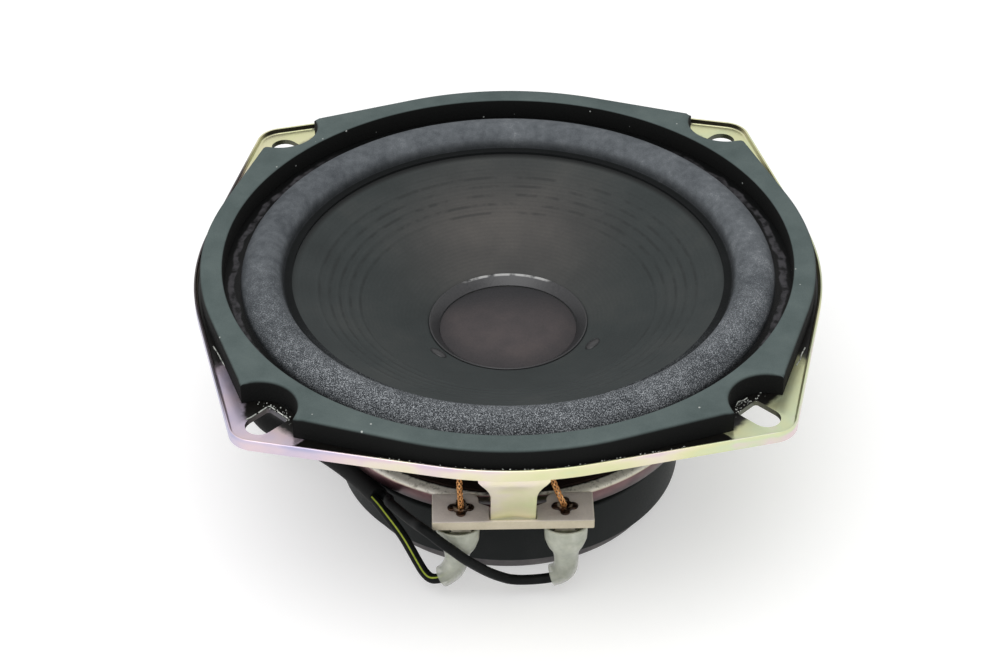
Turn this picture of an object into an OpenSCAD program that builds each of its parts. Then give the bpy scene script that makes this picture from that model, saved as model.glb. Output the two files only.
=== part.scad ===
// Moving-coil loudspeaker driver with a stamped steel basket, foam surround, paper cone,
// ferrite magnet, terminal board and a two-wire lead in a jacket.
// Millimetres. Z runs up along the driver's axis, with the back plate on z = 0.
// The terminal board faces -Y.

/* [Magnet system] */
// Radius of the ferrite ring magnet
magnet_r = 38.8; // [37.6:0.1:39.2]
// Thickness of the ferrite ring magnet
magnet_t = 12; // [10:0.5:16]
// Radius of the hole through the ferrite ring
magnet_bore_r = 18; // [16:0.5:22]
// Radius of the back plate
back_r = 35.8; // [30:0.2:38]
// Thickness of the back plate
back_t = 4.6; // [3:0.2:8]
// Bevel around the back plate's lower edge
back_bevel = 0.8; // [0.2:0.1:1.5]
// Radius of the top plate
plate_r = 37.4; // [36.5:0.1:38.4]
// Thickness of the top plate
plate_t = 4; // [3:0.2:6]
// Radius of the pole piece
pole_r = 12.1; // [11:0.1:12.6]
// Height of the pole above the top plate
pole_rise = 0.6; // [0:0.1:2]

/* [Voice coil] */
// Clearance between the pole and the former
pole_gap = 0.5; // [0.3:0.05:0.8]
// Wall of the former
former_t = 0.3; // [0.2:0.05:0.5]
// Radial thickness of the winding
winding_t = 0.6; // [0.4:0.1:1]
// Height of the winding
winding_h = 9; // [7:0.5:12]
// Clearance between the winding and the top plate
coil_gap = 0.45; // [0.3:0.05:0.8]
// Length of bare former below the winding
former_tail = 0.4; // [0.2:0.1:1]

/* [Basket] */
// Thickness of the basket's sheet steel
sheet_t = 1.2; // [0.8:0.1:1.6]
// Height of the flange's face above the magnet seat
flange_rise = 34; // [32:0.5:38]
// Radius of the flange at the middle of each side
flange_r = 68.4; // [67:0.1:70]
// How far the rounded corners' centres lie beyond that radius
corner_out = 4.9; // [4:0.1:6]
// Radius of the flange's rounded corners
corner_r = 6; // [5.5:0.1:7]
// Height of the upturned lip above the flange's face
lip_h = 1.2; // [0.5:0.1:2.5]
// Thickness of the upturned lip
lip_t = 0.7; // [0.5:0.1:1.2]
// Width of the flange at the middle of each side
flange_w = 8.6; // [8:0.1:9.2]
// Depth of the collar below the flange's underside
collar_h = 6.4; // [4:0.2:8]
// Radius of the bore in the magnet seat
seat_bore_r = 15.5; // [15:0.1:17]
// Outer radius of the spider landing
landing_ro = 44.1; // [43.2:0.1:44.6]
// Width of the spider landing
landing_w = 9.3; // [8.4:0.1:9.6]
// Height of the spider landing above the magnet seat
landing_rise = 5.9; // [5:0.1:8]
// Depth of the turned-down edge of the landing
skirt_h = 5.1; // [5:0.1:6]
// How far the turned-down edge leans inwards
skirt_lean = 1.7; // [0.5:0.1:2]

/* [Basket arms] */
// Number of arms
arm_count = 4; // [4:4:4]
// Width of an arm at its waist
arm_w = 9.5; // [8:0.1:11]
// Width of an arm where it meets the collar
arm_top_w = 15.5; // [14.5:0.5:17]
// Height of the waist's upper end above the magnet seat
arm_waist = 17.6; // [16:0.2:19]
// Radius of the curve that widens the arm
arm_curve_r = 15; // [14:0.5:20]
// How far an arm's foot stands outside the spider landing
arm_stand = 2.5; // [2:0.1:3]

/* [Mounting slots] */
// How far each slot's centre lies inside its corner's centre
slot_in = 1.7; // [1.2:0.1:2.2]
// Width of a mounting slot
slot_w = 6; // [4.5:0.1:6.4]
// Length of a mounting slot
slot_l = 8.2; // [6.5:0.1:9]
// Corner radius at a slot's inner end
slot_corner_r = 0.8; // [0.4:0.1:1.5]

/* [Gasket] */
// Thickness of the foam gasket
gasket_t = 5.4; // [4.8:0.1:8]
// Width of the gasket at the middle of each side
gasket_w = 4.9; // [4.2:0.1:5.4]
// Gap between the gasket and the lip
gasket_gap = 0.8; // [0.4:0.1:1.5]
// Radius that the gasket's corners end in, before the pockets are cut
gasket_end_r = 1; // [0.5:0.1:3]
// Radius of the pocket around each slot
pocket_r = 8.3; // [7.6:0.1:9]

/* [Surround and cone] */
// Thickness of the foam surround
foam_t = 0.5; // [0.4:0.1:0.8]
// How far the roll's crest line lies inside the gasket
roll_in = 8.3; // [8:0.1:8.6]
// Radius of the roll's section
roll_r = 4.4; // [4:0.1:4.5]
// Width of the surround's flat part under the gasket
foam_hold = 3.4; // [2:0.1:4]
// Width of the cone's flat rim
rim_w = 2.1; // [1.6:0.1:2.6]
// Thickness of the paper cone
paper_t = 0.6; // [0.4:0.05:0.8]
// Radius of the break in the cone's slope
break_r = 18; // [17.4:0.1:18.6]
// Depth of the break below the flat rim
break_drop = 13; // [11.5:0.1:13.6]
// Depth of the neck below the break
neck_drop = 3.8; // [3:0.1:4.4]
// Number of ribs pressed into the cone
rib_count = 4; // [2:1:6]
// Radius of the innermost rib
rib_r = 33; // [28:0.5:36]
// Distance between ribs
rib_pitch = 2.2; // [1.6:0.1:2.4]
// Height of a rib
rib_h = 0.25; // [0.1:0.05:0.4]

/* [Dust cap] */
// Radius of the dust cap
cap_r = 15.2; // [14.6:0.1:15.6]
// Rise of the dust cap's dome
cap_rise = 2.2; // [1.2:0.1:3.5]
// Thickness of the dust cap
cap_t = 0.4; // [0.3:0.05:0.6]
// Radial width of the ring around the dust cap
ring_w = 2.5; // [2:0.1:2.7]
// Height of the ring above the cone at its outer edge
ring_h = 0.7; // [0.4:0.1:1.2]

/* [Spider] */
// Width of the spider's flat rim on the landing
spider_hold = 6.2; // [4:0.1:7]
// Thickness of the spider's cloth
spider_t = 0.5; // [0.4:0.1:0.7]
// Number of corrugations
spider_waves = 5; // [3:1:6]
// Height of a corrugation on each side
spider_amp = 1.3; // [0.8:0.1:1.6]
// Height of the cuff around the former
spider_cuff = 2; // [1:0.2:3]

/* [Terminals] */
// Width of the terminal board
board_w = 34.2; // [33:0.1:37]
// Thickness of the terminal board
board_t = 2.3; // [2:0.1:2.8]
// Width of the bar in front of the arm
board_bar = 0.8; // [0.6:0.1:1.6]
// How far the board's rear edge lies inside the landing's edge
board_in = 3.1; // [2.6:0.1:3.5]
// Half the distance between the two eyelets
eyelet_x = 11; // [10.7:0.1:11.4]
// How far the eyelets lie outside the landing's edge
eyelet_out = 1.7; // [1.4:0.1:2]
// Outer radius of an eyelet's barrel
eyelet_r = 1.5; // [1.2:0.1:1.7]
// Radius of an eyelet's bore
eyelet_bore_r = 0.9; // [0.7:0.05:1]
// Reach of each of an eyelet's four lobes
lobe_d = 1.8; // [1.5:0.1:2]
// Radius of each lobe
lobe_r = 1.05; // [0.8:0.05:1.2]
// Width of a terminal tab's blade
tab_w = 4.2; // [3.6:0.1:4.4]
// Thickness of a terminal tab
tab_t = 0.8; // [0.5:0.1:1]
// Length of a terminal tab's blade
tab_l = 4.6; // [4:0.1:4.8]

/* [Hidden] */

$fn = 96;
eps = 0.01;
bite = 0.02;
part_gap = 0.1;
fit_gap = 0.05;

// Radii and distances of the flange, the gasket and the landing
corner_d = flange_r + corner_out;
slot_d = corner_d - slot_in;
collar_r = flange_r - flange_w;
gasket_inset = lip_t + gasket_gap;
gasket_ri = flange_r - gasket_inset - gasket_w;
landing_ri = landing_ro - landing_w;
arm_foot_d = landing_ro + arm_stand;
foam_ro = gasket_ri + foam_hold;
spider_ro = landing_ri + spider_hold;
board_back = landing_ro - board_in;
eyelet_y = landing_ro + eyelet_out;

// Levels of the motor and the basket
magnet_z = back_t;
plate_z = magnet_z + magnet_t;
seat_z = plate_z + plate_t;
landing_z = seat_z + landing_rise;
flange_z = seat_z + flange_rise;
gasket_z = flange_z + gasket_t;
collar_z = flange_z - sheet_t - collar_h;

// Radii of the voice coil
former_ri = pole_r + pole_gap;
former_ro = former_ri + former_t;
winding_ro = former_ro + winding_t;
plate_bore_r = winding_ro + coil_gap;
gap_z = plate_z + plate_t / 2;

// Cone: a flat rim under the surround, a straight flank, then a steeper neck
roll_mid_r = gasket_ri - roll_in;
roll_ri = roll_mid_r - roll_r;
rim_ri = roll_ri - rim_w;
foam_z = flange_z;
rim_z = foam_z - part_gap;
break_z = rim_z - break_drop;
neck_z = break_z - neck_drop;
neck_r = former_ro + fit_gap;
flank_slope = break_drop / (rim_ri - break_r);
neck_slope = neck_drop / (break_r - neck_r);
function cone_z(r) = r > rim_ri ? rim_z
    : r > break_r ? break_z + flank_slope * (r - break_r)
    : neck_z + neck_slope * (r - neck_r);

// Arms: outer face as a distance from the axis at a height
arm_lean = (collar_r + sheet_t - arm_foot_d) / (collar_z - seat_z - sheet_t);
function arm_face(z) = arm_foot_d + arm_lean * (z - seat_z - sheet_t);

// Terminal board
board_z = landing_z - board_t;
notch_gap = 0.2;
notch_y = arm_face(landing_z) + notch_gap;
board_y = notch_y + board_bar;
notch_w = arm_w / 2 + notch_gap;
shoulder_w = 7.2;
shoulder_y = landing_ro - part_gap;
shoulder_r = 2;
tab_z = board_z - tab_t;
blade_y = eyelet_y + 2.5;
lobe_t = 0.6;
flare_w = 0.4;

// Insulating sleeves, as centre points with half widths along the board and across it
sleeve_wall = 0.5;
sleeve_top = tab_z - lobe_t - part_gap;
sleeve_right_path = [
    [11.2, -47.8, sleeve_top], [11.2, -47.8, 20.6], [11.2, -47.7, 18.6], [11.25, -47.4, 17],
    [11.3, -47.1, 15.7], [11.4, -46.9, 13.6], [11.4, -46.7, 11.6], [11.15, -46.6, 9.9],
    [10.4, -46.5, 8.7], [9.4, -46.5, 8], [8.3, -46.5, 7.6]];
sleeve_left_path = [
    [-11.7, -47.8, sleeve_top], [-11.7, -47.8, 20.6], [-11.7, -47.7, 18.6], [-11.8, -47.4, 16.8],
    [-11.9, -47.1, 15.2], [-12, -46.9, 13.6], [-12.3, -46.7, 11.9], [-12.9, -46.6, 10.3],
    [-13.7, -46.5, 9.1], [-14.6, -46.5, 8.2], [-15.4, -46.5, 7.7]];
sleeve_half_w = [4.6, 4.6, 4.5, 3.9, 3, 2.7, 2.6, 2.6, 2.55, 2.45, 2.4];
sleeve_half_d = [3, 3, 3, 3, 2.8, 2.7, 2.6, 2.6, 2.55, 2.45, 2.4];

// Push-on receptacles inside the sleeves
socket_wall = 0.3;
socket_below = 0.5;
barrel_r = 1.5;
barrel_y = 46.8;
barrel_z = 12.3;
barrel_left_x = -11.9;
barrel_right_x = 11.4;

// Wires, as hand-chosen points from each crimp barrel to the mouth of the jacket
wire_r = 1.1;
wire_plain_path = [
    [11.4, -46.8, 12], [11.4, -46.7, 10.4], [10.9, -46.6, 8.8], [9.6, -46.5, 7.5], [8.2, -46.5, 6.9],
    [5.8, -46.5, 6.5], [2.7, -46.6, 6.4], [0.3, -46.9, 6.8], [-1.8, -47.4, 7.8], [-5.4, -49, 11.1],
    [-9.5, -51.4, 16.4], [-11.1, -52, 18.4], [-13, -52.3, 20.6], [-14.6, -52.2, 22],
    [-16.1, -52, 23.4], [-17.5, -51.7, 24.7], [-19.4, -50, 25], [-21, -46.9, 23.7],
    [-22.9, -43.8, 22.9], [-24.5, -41, 22.2], [-26.4, -37.9, 21.6], [-26.5, -35.9, 20.6],
    [-26.6, -34.5, 19.6], [-27.1, -33.5, 19.1], [-27.85, -32.4, 18.9]];
wire_striped_path = [
    [-11.9, -46.8, 12], [-12.3, -46.7, 10.5], [-13.4, -46.6, 8.9], [-15.2, -46.5, 7.4],
    [-17.5, -45.9, 6.6], [-19.1, -44.6, 7.2], [-20.5, -43.4, 9.2], [-21.9, -42.2, 11.6],
    [-23.3, -40.9, 13.8], [-24.9, -39.6, 15.9], [-26.8, -38, 17.9], [-28.4, -36, 18.9],
    [-29.85, -33.7, 18.9]];

// Jacketed lead, from its mouth round the left of the magnet to the coil behind
lead_r = 2.25;
lead_path = [
    [-28.9, -32.9, 18.9], [-31.7, -28.6, 18.8], [-34.2, -25, 18.6], [-37.2, -21.1, 18.3],
    [-41.5, -16.2, 17.8], [-46.5, -11.4, 17.1], [-51, -7, 16.4], [-54.6, -3, 15.6],
    [-57.2, 2.2, 14.7], [-58.6, 9, 13.2], [-58.2, 17, 11.2], [-56, 26, 8.9], [-52, 35.5, 6.6],
    [-46.2, 45, 4.7], [-39.4, 53.6, 3.5], [-33.4, 60.6, 3], [-28.9, 66.8, 3], [-27.2, 71.2, 3],
    [-27, 73.95, 3]];

// Coil behind the driver: in along one layer, up, and out along the next
coil_x = 0;
coil_y = 78;
coil_r = 27;
coil_pitch = 6;
coil_turns = 2.5;
coil_steps = 24;
coil_z = 3;
layer_h = 5.1;
coil_in = 4;
coil_out = 6;
function coil_radius(t) = t < 1 ? coil_r - coil_pitch * t
    : t < 1.5 ? coil_r - coil_pitch
    : coil_r - coil_pitch + coil_pitch * (t - 1.5);
function coil_height(t) = t < 1 ? coil_z : t < 1.5 ? coil_z + layer_h * (t - 1) * 2 : coil_z + layer_h;
function coil_point(t) = [coil_x - coil_radius(t) * cos(360 * t),
                          coil_y + coil_radius(t) * sin(360 * t), coil_height(t)];
coil_path = concat(
    [[coil_x - coil_r, coil_y - coil_in, coil_z]],
    [for (i = [0:coil_turns * coil_steps]) coil_point(i / coil_steps)],
    [[coil_x + coil_r, coil_y - coil_out, coil_z + layer_h]]);
tail_path = [
    [27, 71.85, 8.1], [27, 70, 8], [27, 65.5, 6.9], [27.3, 61, 5.2], [27.7, 57, 4.2], [28, 54, 4],
    [28, 52, 4]];

// Least gap between turns, measured between points at least half a turn apart
turn_gap = min([for (i = [0:len(coil_path) - 1], j = [i + coil_steps / 2:len(coil_path) - 1])
    norm(coil_path[i] - coil_path[j])]) - 2 * lead_r;
echo(least_gap_in_lead_coil = turn_gap);

// Tie around the turns at the coil's front
tie_w = 3;
tie_t = 0.5;
tie_gap = 0.25;
tie_x = coil_x;
tie_y = coil_y - coil_r + coil_pitch * 0.75;

// Connector at the lead's far end
plug_x = 28;
plug_y = 52;
plug_w = 12;
plug_l = 17;
plug_h = 8;
latch_w = 4;
latch_l = 8;
latch_h = 1;
latch_back = 3;
cavity_w = 3.4;
cavity_h = 3;
cavity_l = 9;
cavity_x = 2.6;
contact_w = 2.4;
contact_t = 0.8;
contact_back = 1;

// Flexible leads from the eyelets to the cone
tinsel_r = 0.6;
dot_x = 14.6;
dot_y = 14.2;
dot_r = 1.7;
dot_h = 1.2;
tinsel_left_path = [
    [-11, -45.8, 26], [-11, -45.8, 27.5], [-11.1, -45.8, 29.4], [-11.2, -45.2, 32.2],
    [-11.2, -43.4, 34.8], [-11.4, -40.4, 36.8], [-11.8, -36.6, 38], [-12.3, -32.4, 38.4],
    [-12.9, -28, 38.2], [-13.5, -23.6, 37.8], [-14, -19.6, 37.6], [-14.4, -16.6, 38],
    [-14.6, -14.8, 39.1], [-14.6, -14.2, 40.4]];
tinsel_right_path = [
    [10.85, -45.8, 26], [10.75, -45.8, 27.2], [10.1, -45.85, 29], [9.2, -45.5, 31.2],
    [8.4, -44.6, 33.4], [8, -42.6, 35.4], [8.1, -39.6, 37.2], [9, -36.2, 38.1], [10.2, -32.4, 38.4],
    [11.5, -28, 38.2], [12.8, -23.6, 37.8], [13.8, -19.6, 37.6], [14.4, -16.6, 38],
    [14.6, -14.8, 39.1], [14.6, -14.2, 40.4]];

// Rivets that hold the basket to the top plate
rivet_r = 1.6;
rivet_head_r = 2.6;
rivet_head_h = 0.8;
rivet_d = 25;
rivet_depth = 3;

// Sweeps closed rings along a path. Each ring lies square to the path.
function unit(v) = v / norm(v);
function path_dir(p, i) = unit(p[min(i + 1, len(p) - 1)] - p[max(i - 1, 0)]);
function ring_side(d, ref) = unit(ref - (ref * d) * d);
function ring_at(c, d, ref, a, b, sides) = let (u = ring_side(d, ref), v = cross(d, u))
    [for (k = [0:sides - 1]) c + a * cos(360 * (k + 0.5) / sides) * u
                               + b * sin(360 * (k + 0.5) / sides) * v];

module swept(path, a, b, ref, sides) {
    rings = len(path);
    points = [for (i = [0:rings - 1]) each ring_at(path[i], path_dir(path, i), ref, a[i], b[i], sides)];
    walls = [for (i = [0:rings - 2], k = [0:sides - 1]) let (n = (k + 1) % sides)
        each [[i * sides + k, (i + 1) * sides + k, i * sides + n],
              [i * sides + n, (i + 1) * sides + k, (i + 1) * sides + n]]];
    first = [for (k = [1:sides - 2]) [0, k, k + 1]];
    last_start = (rings - 1) * sides;
    last = [for (k = [1:sides - 2]) [last_start, last_start + k + 1, last_start + k]];
    polyhedron(points, concat(walls, first, last), convexity = 6);
}

module tube(path, r, ref = [0, 0, 1], sides = 8) {
    same = [for (p = path) r];
    swept(path, same, same, ref, sides);
}

module at_corners() {
    for (i = [0:3]) rotate(45 + 90 * i) children();
}

module at_terminals() {
    for (side = [-1, 1]) translate([side * eyelet_x, -eyelet_y, 0]) children();
}

// A round plate drawn out to four rounded corners. The straight edges start a bite inside the arcs.
module drawn_plan(side_r, end_r) {
    tangent = acos((side_r - end_r) / corner_d);
    side = side_r - bite;
    end = end_r - bite;
    circle(side_r);
    at_corners() {
        translate([corner_d, 0]) circle(end_r);
        polygon([[0, 0], [side * cos(tangent), -side * sin(tangent)],
                 [corner_d + end * cos(tangent), -end * sin(tangent)],
                 [corner_d + end * cos(tangent), end * sin(tangent)],
                 [side * cos(tangent), side * sin(tangent)]]);
    }
}

module flange_plan(inset) {
    drawn_plan(flange_r - inset, corner_r - inset);
}

// Slot with a round outer end and a square inner end
module slot_plan() {
    outer = (slot_l - slot_w) / 2;
    inner = slot_corner_r - slot_l / 2;
    corner_y = slot_w / 2 - slot_corner_r;
    translate([slot_d, 0]) {
        translate([outer, 0]) circle(d = slot_w);
        translate([inner, -slot_w / 2]) square([outer - inner, slot_w]);
        translate([inner - slot_corner_r, -corner_y]) square([2 * slot_corner_r, 2 * corner_y]);
        for (side = [-1, 1]) translate([inner, side * corner_y]) circle(slot_corner_r, $fn = 32);
    }
}

module flange() {
    translate([0, 0, flange_z - sheet_t])
        linear_extrude(sheet_t)
            difference() {
                flange_plan(0);
                circle(collar_r);
                at_corners() slot_plan();
            }
    translate([0, 0, flange_z - eps])
        linear_extrude(lip_h + eps)
            difference() {
                flange_plan(0);
                flange_plan(lip_t);
            }
}

// The collar, magnet seat, riser, spider landing and turned-down edge
module pan() {
    skirt_z = landing_z - skirt_h;
    rotate_extrude()
        polygon([[collar_r, collar_z], [collar_r + sheet_t, collar_z],
                 [collar_r + sheet_t, flange_z - sheet_t / 2], [collar_r, flange_z - sheet_t / 2]]);
    rotate_extrude()
        polygon([[seat_bore_r, seat_z], [landing_ri + sheet_t, seat_z],
                 [landing_ri + sheet_t, landing_z - sheet_t],
                 [landing_ro - sheet_t, landing_z - sheet_t],
                 [landing_ro - skirt_lean - sheet_t, skirt_z], [landing_ro - skirt_lean, skirt_z],
                 [landing_ro, landing_z], [landing_ri, landing_z],
                 [landing_ri, seat_z + sheet_t], [seat_bore_r, seat_z + sheet_t]]);
}

// One arm at +X: its side section, trimmed to the outline seen from outside
module arm() {
    top = collar_z + collar_h / 2;
    reach = arm_curve_r + arm_top_w;
    intersection() {
        rotate([90, 0, 0])
            linear_extrude(2 * reach, center = true)
                polygon([[collar_r + sheet_t, top], [collar_r + sheet_t, collar_z],
                         [arm_foot_d, seat_z + sheet_t], [arm_foot_d - sheet_t / 2, seat_z],
                         [landing_ri, seat_z], [landing_ri, seat_z + sheet_t],
                         [arm_foot_d - 1.5 * sheet_t, seat_z + sheet_t],
                         [collar_r, collar_z], [collar_r, top]]);
        rotate([90, 0, 90])
            linear_extrude(flange_r)
                difference() {
                    translate([-arm_top_w / 2, seat_z - 1]) square([arm_top_w, top - seat_z + 2]);
                    for (side = [-1, 1]) {
                        translate([side * (arm_w / 2 + arm_curve_r), seat_z + arm_waist])
                            circle(arm_curve_r, $fn = 128);
                        translate([side * (arm_w / 2 + reach / 2), seat_z + arm_waist - reach / 2])
                            square([reach, reach], center = true);
                    }
                }
    }
}

module basket() {
    color("palegoldenrod")
        difference() {
            union() {
                flange();
                difference() {
                    pan();
                    translate([-board_w / 2 - part_gap, -landing_ro - 1, board_z])
                        cube([board_w + 2 * part_gap, landing_ro + 1 - board_back + part_gap, board_t + 1]);
                }
                for (i = [0:arm_count - 1]) rotate(360 / arm_count * i - 90) arm();
            }
            at_corners() translate([rivet_d, 0, seat_z - 1])
                cylinder(r = rivet_r + fit_gap, h = sheet_t + 2);
        }
}

module gasket() {
    color("darkslategray")
        difference() {
            translate([0, 0, flange_z])
                linear_extrude(gasket_t)
                    difference() {
                        drawn_plan(flange_r - gasket_inset, gasket_end_r);
                        circle(gasket_ri, $fn = 144);
                        at_corners() translate([corner_d, 0]) circle(pocket_r);
                    }
            translate([0, 0, flange_z - 1]) cylinder(r = foam_ro + part_gap, h = foam_t + 1);
        }
}

// Half roll with a flat outer foot under the gasket and a flat inner foot on the cone
module surround() {
    color("dimgray")
        rotate_extrude($fn = 144) {
            translate([roll_mid_r, foam_z])
                intersection() {
                    difference() {
                        circle(roll_r + foam_t / 2, $fn = 64);
                        circle(roll_r - foam_t / 2, $fn = 64);
                    }
                    translate([-2 * roll_r, 0]) square([4 * roll_r, 2 * roll_r]);
                }
            translate([roll_mid_r + roll_r - foam_t / 2, foam_z])
                square([foam_ro - roll_mid_r - roll_r + foam_t / 2, foam_t]);
            translate([rim_ri, foam_z]) square([roll_ri - rim_ri + foam_t / 2, foam_t]);
        }
}

function rib_radii() = [for (i = [0:rib_count - 1]) rib_r + rib_pitch * i];

module cone() {
    half = rib_pitch / 4;
    ribs = [for (r = rib_radii()) each [[r - half, cone_z(r - half)], [r, cone_z(r) + rib_h],
                                        [r + half, cone_z(r + half)]]];
    front = concat([[neck_r, cone_z(neck_r)], [break_r, cone_z(break_r)]], ribs,
                   [[rim_ri, rim_z], [roll_ri, rim_z]]);
    back = [for (i = [len(front) - 1:-1:0]) front[i] - [0, paper_t]];
    color("dimgray") rotate_extrude($fn = 144) polygon(concat(front, back));
}

module dust_cap() {
    edge_z = cone_z(cap_r) + part_gap;
    dome_r = (cap_r * cap_r + cap_rise * cap_rise) / (2 * cap_rise);
    color("dimgray")
        translate([0, 0, edge_z + cap_rise - dome_r])
            rotate_extrude()
                intersection() {
                    difference() {
                        circle(dome_r, $fn = 256);
                        circle(dome_r - cap_t, $fn = 256);
                    }
                    translate([0, dome_r - cap_rise]) square([cap_r, cap_rise + 1]);
                }
}

module cap_ring() {
    ring_ri = cap_r + part_gap;
    ring_ro = ring_ri + ring_w;
    crest = cone_z(ring_ro) + ring_h;
    color("gray")
        rotate_extrude()
            polygon([[ring_ri, cone_z(ring_ri)], [ring_ro, cone_z(ring_ro)],
                     [ring_ro - ring_w / 4, crest], [ring_ri + ring_w / 4, crest],
                     [ring_ri, crest - ring_h / 2]]);
}

module coil_former() {
    bottom = gap_z - winding_h / 2 - former_tail;
    color("peru")
        rotate_extrude()
            translate([former_ri, bottom]) square([former_t, neck_z - bottom]);
}

module coil_winding() {
    color("chocolate")
        rotate_extrude()
            translate([former_ro, gap_z - winding_h / 2]) square([winding_t, winding_h]);
}

// Corrugated disc: a flat rim on the landing, waves, and a cuff that rises along the former
module spider() {
    wave_ro = landing_ri - 0.4;
    wave_ri = former_ro + part_gap + spider_t + 2;
    steps = spider_waves * 12;
    base = landing_z;
    waves = [for (i = [0:steps]) let (r = wave_ro - (wave_ro - wave_ri) * i / steps)
        [r, base + spider_amp * sin(360 * spider_waves * i / steps)]];
    cuff_r = former_ro + part_gap;
    lower = concat([[spider_ro, base]], waves, [[cuff_r, base]]);
    upper = concat([[cuff_r, base + spider_cuff], [cuff_r + spider_t, base + spider_cuff],
                    [cuff_r + spider_t, base + spider_t]],
                   [for (i = [steps:-1:0]) waves[i] + [0, spider_t]], [[spider_ro, base + spider_t]]);
    color("saddlebrown") rotate_extrude() polygon(concat(lower, upper));
}

module top_plate() {
    color("gray")
        difference() {
            translate([0, 0, plate_z]) cylinder(r = plate_r, h = plate_t);
            translate([0, 0, plate_z - 1]) cylinder(r = plate_bore_r, h = plate_t + 2);
            at_corners() translate([rivet_d, 0, seat_z - rivet_depth - fit_gap])
                cylinder(r = rivet_r + fit_gap, h = rivet_depth + 1);
        }
}

module magnet() {
    color("darkslategray")
        difference() {
            translate([0, 0, magnet_z]) cylinder(r = magnet_r, h = magnet_t, $fn = 144);
            translate([0, 0, magnet_z - 1]) cylinder(r = magnet_bore_r, h = magnet_t + 2);
        }
}

module back_plate() {
    color("gray")
        rotate_extrude($fn = 144)
            polygon([[0, 0], [back_r - back_bevel, 0], [back_r, back_bevel], [back_r, back_t], [0, back_t]]);
}

module pole_piece() {
    color("silver")
        translate([0, 0, back_t]) cylinder(r = pole_r, h = magnet_t + plate_t + pole_rise);
}

module seat_rivets() {
    color("silver")
        at_corners() translate([rivet_d, 0, 0]) {
            translate([0, 0, seat_z - rivet_depth]) cylinder(r = rivet_r, h = rivet_depth + sheet_t + eps);
            translate([0, 0, seat_z + sheet_t]) cylinder(r = rivet_head_r, h = rivet_head_h);
        }
}

module board_plan() {
    difference() {
        translate([-board_w / 2, -board_y]) square([board_w, board_y - board_back]);
        translate([-notch_w, -notch_y]) square([2 * notch_w, notch_y]);
        translate([-shoulder_w, -shoulder_y]) square([2 * shoulder_w, shoulder_y]);
        for (side = [-1, 1])
            difference() {
                translate([side * (shoulder_w + shoulder_r / 2), -board_back - shoulder_r / 2])
                    square([shoulder_r, shoulder_r], center = true);
                translate([side * (shoulder_w + shoulder_r), -board_back - shoulder_r])
                    circle(shoulder_r);
            }
        at_terminals() circle(eyelet_r + fit_gap, $fn = 48);
    }
}

module terminal_board() {
    color("lightgray") translate([0, 0, board_z]) linear_extrude(board_t) board_plan();
}

// Swaged eyelet: a barrel through the board and the tab, and four lobes on the board
module eyelet(side) {
    bottom = tab_z - lobe_t;
    height = board_t + tab_t + 2 * lobe_t;
    color("saddlebrown")
        translate([side * eyelet_x, -eyelet_y, 0])
            difference() {
                union() {
                    translate([0, 0, bottom]) cylinder(r = eyelet_r, h = height);
                    translate([0, 0, bottom]) cylinder(r = eyelet_r + flare_w, h = lobe_t);
                    translate([0, 0, landing_z]) cylinder(r = lobe_d, h = lobe_t);
                    for (i = [0:3])
                        rotate(90 * i) translate([lobe_d, 0, landing_z]) cylinder(r = lobe_r, h = lobe_t);
                }
                translate([0, 0, bottom - 1]) cylinder(r = eyelet_bore_r, h = height + 2);
            }
}

module eyelet_left() { eyelet(-1); }
module eyelet_right() { eyelet(1); }

// Terminal tab: a foot riveted under the board and a blade that hangs from its front
module tab(side) {
    foot_w = tab_w + 1.6;
    foot_back = eyelet_y - eyelet_r - 1;
    foot_front = blade_y + tab_t / 2;
    color("silver")
        difference() {
            union() {
                translate([side * eyelet_x - foot_w / 2, -foot_front, tab_z])
                    cube([foot_w, foot_front - foot_back, tab_t]);
                translate([side * eyelet_x - tab_w / 2, -foot_front, tab_z - tab_l])
                    cube([tab_w, tab_t, tab_l + eps]);
            }
            translate([side * eyelet_x, -eyelet_y, tab_z - 1])
                cylinder(r = eyelet_r + fit_gap, h = tab_t + 2);
        }
}

module tab_left() { tab(-1); }
module tab_right() { tab(1); }

// Push-on receptacle: a folded box over the blade, then a crimp barrel around the wire
module receptacle(side, wire_x) {
    wall = socket_wall + fit_gap;
    top = tab_z - lobe_t - part_gap;
    bottom = tab_z - tab_l - socket_below;
    shank = bottom + socket_below - part_gap;
    color("goldenrod")
        difference() {
            union() {
                translate([side * eyelet_x - tab_w / 2 - wall, -blade_y - tab_t / 2 - wall, bottom])
                    cube([tab_w + 2 * wall, tab_t + 2 * wall, top - bottom]);
                translate([wire_x, -barrel_y, barrel_z]) cylinder(r = barrel_r, h = shank - barrel_z);
            }
            translate([side * eyelet_x - tab_w / 2 - fit_gap, -blade_y - tab_t / 2 - fit_gap, shank])
                cube([tab_w + 2 * fit_gap, tab_t + 2 * fit_gap, tab_l + 1]);
        }
}

module receptacle_left() { receptacle(-1, barrel_left_x); }
module receptacle_right() { receptacle(1, barrel_right_x); }

module sleeve(path) {
    inner_w = [for (w = sleeve_half_w) w - sleeve_wall];
    inner_d = [for (d = sleeve_half_d) d - sleeve_wall];
    last = len(path) - 1;
    longer = [for (i = [0:last]) i == 0 ? path[0] + [0, 0, 0.5]
        : i == last ? path[last] + 0.5 * unit(path[last] - path[last - 1]) : path[i]];
    color("lightgray", 0.8)
        difference() {
            swept(path, sleeve_half_d, sleeve_half_w, [0, 1, 0], 20);
            swept(longer, inner_d, inner_w, [0, 1, 0], 20);
        }
}

module sleeve_left() { sleeve(sleeve_left_path); }
module sleeve_right() { sleeve(sleeve_right_path); }

module tinsel_left() { color("peru") tube(tinsel_left_path, tinsel_r, [1, 0, 0]); }
module tinsel_right() { color("peru") tube(tinsel_right_path, tinsel_r, [1, 0, 0]); }

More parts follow.
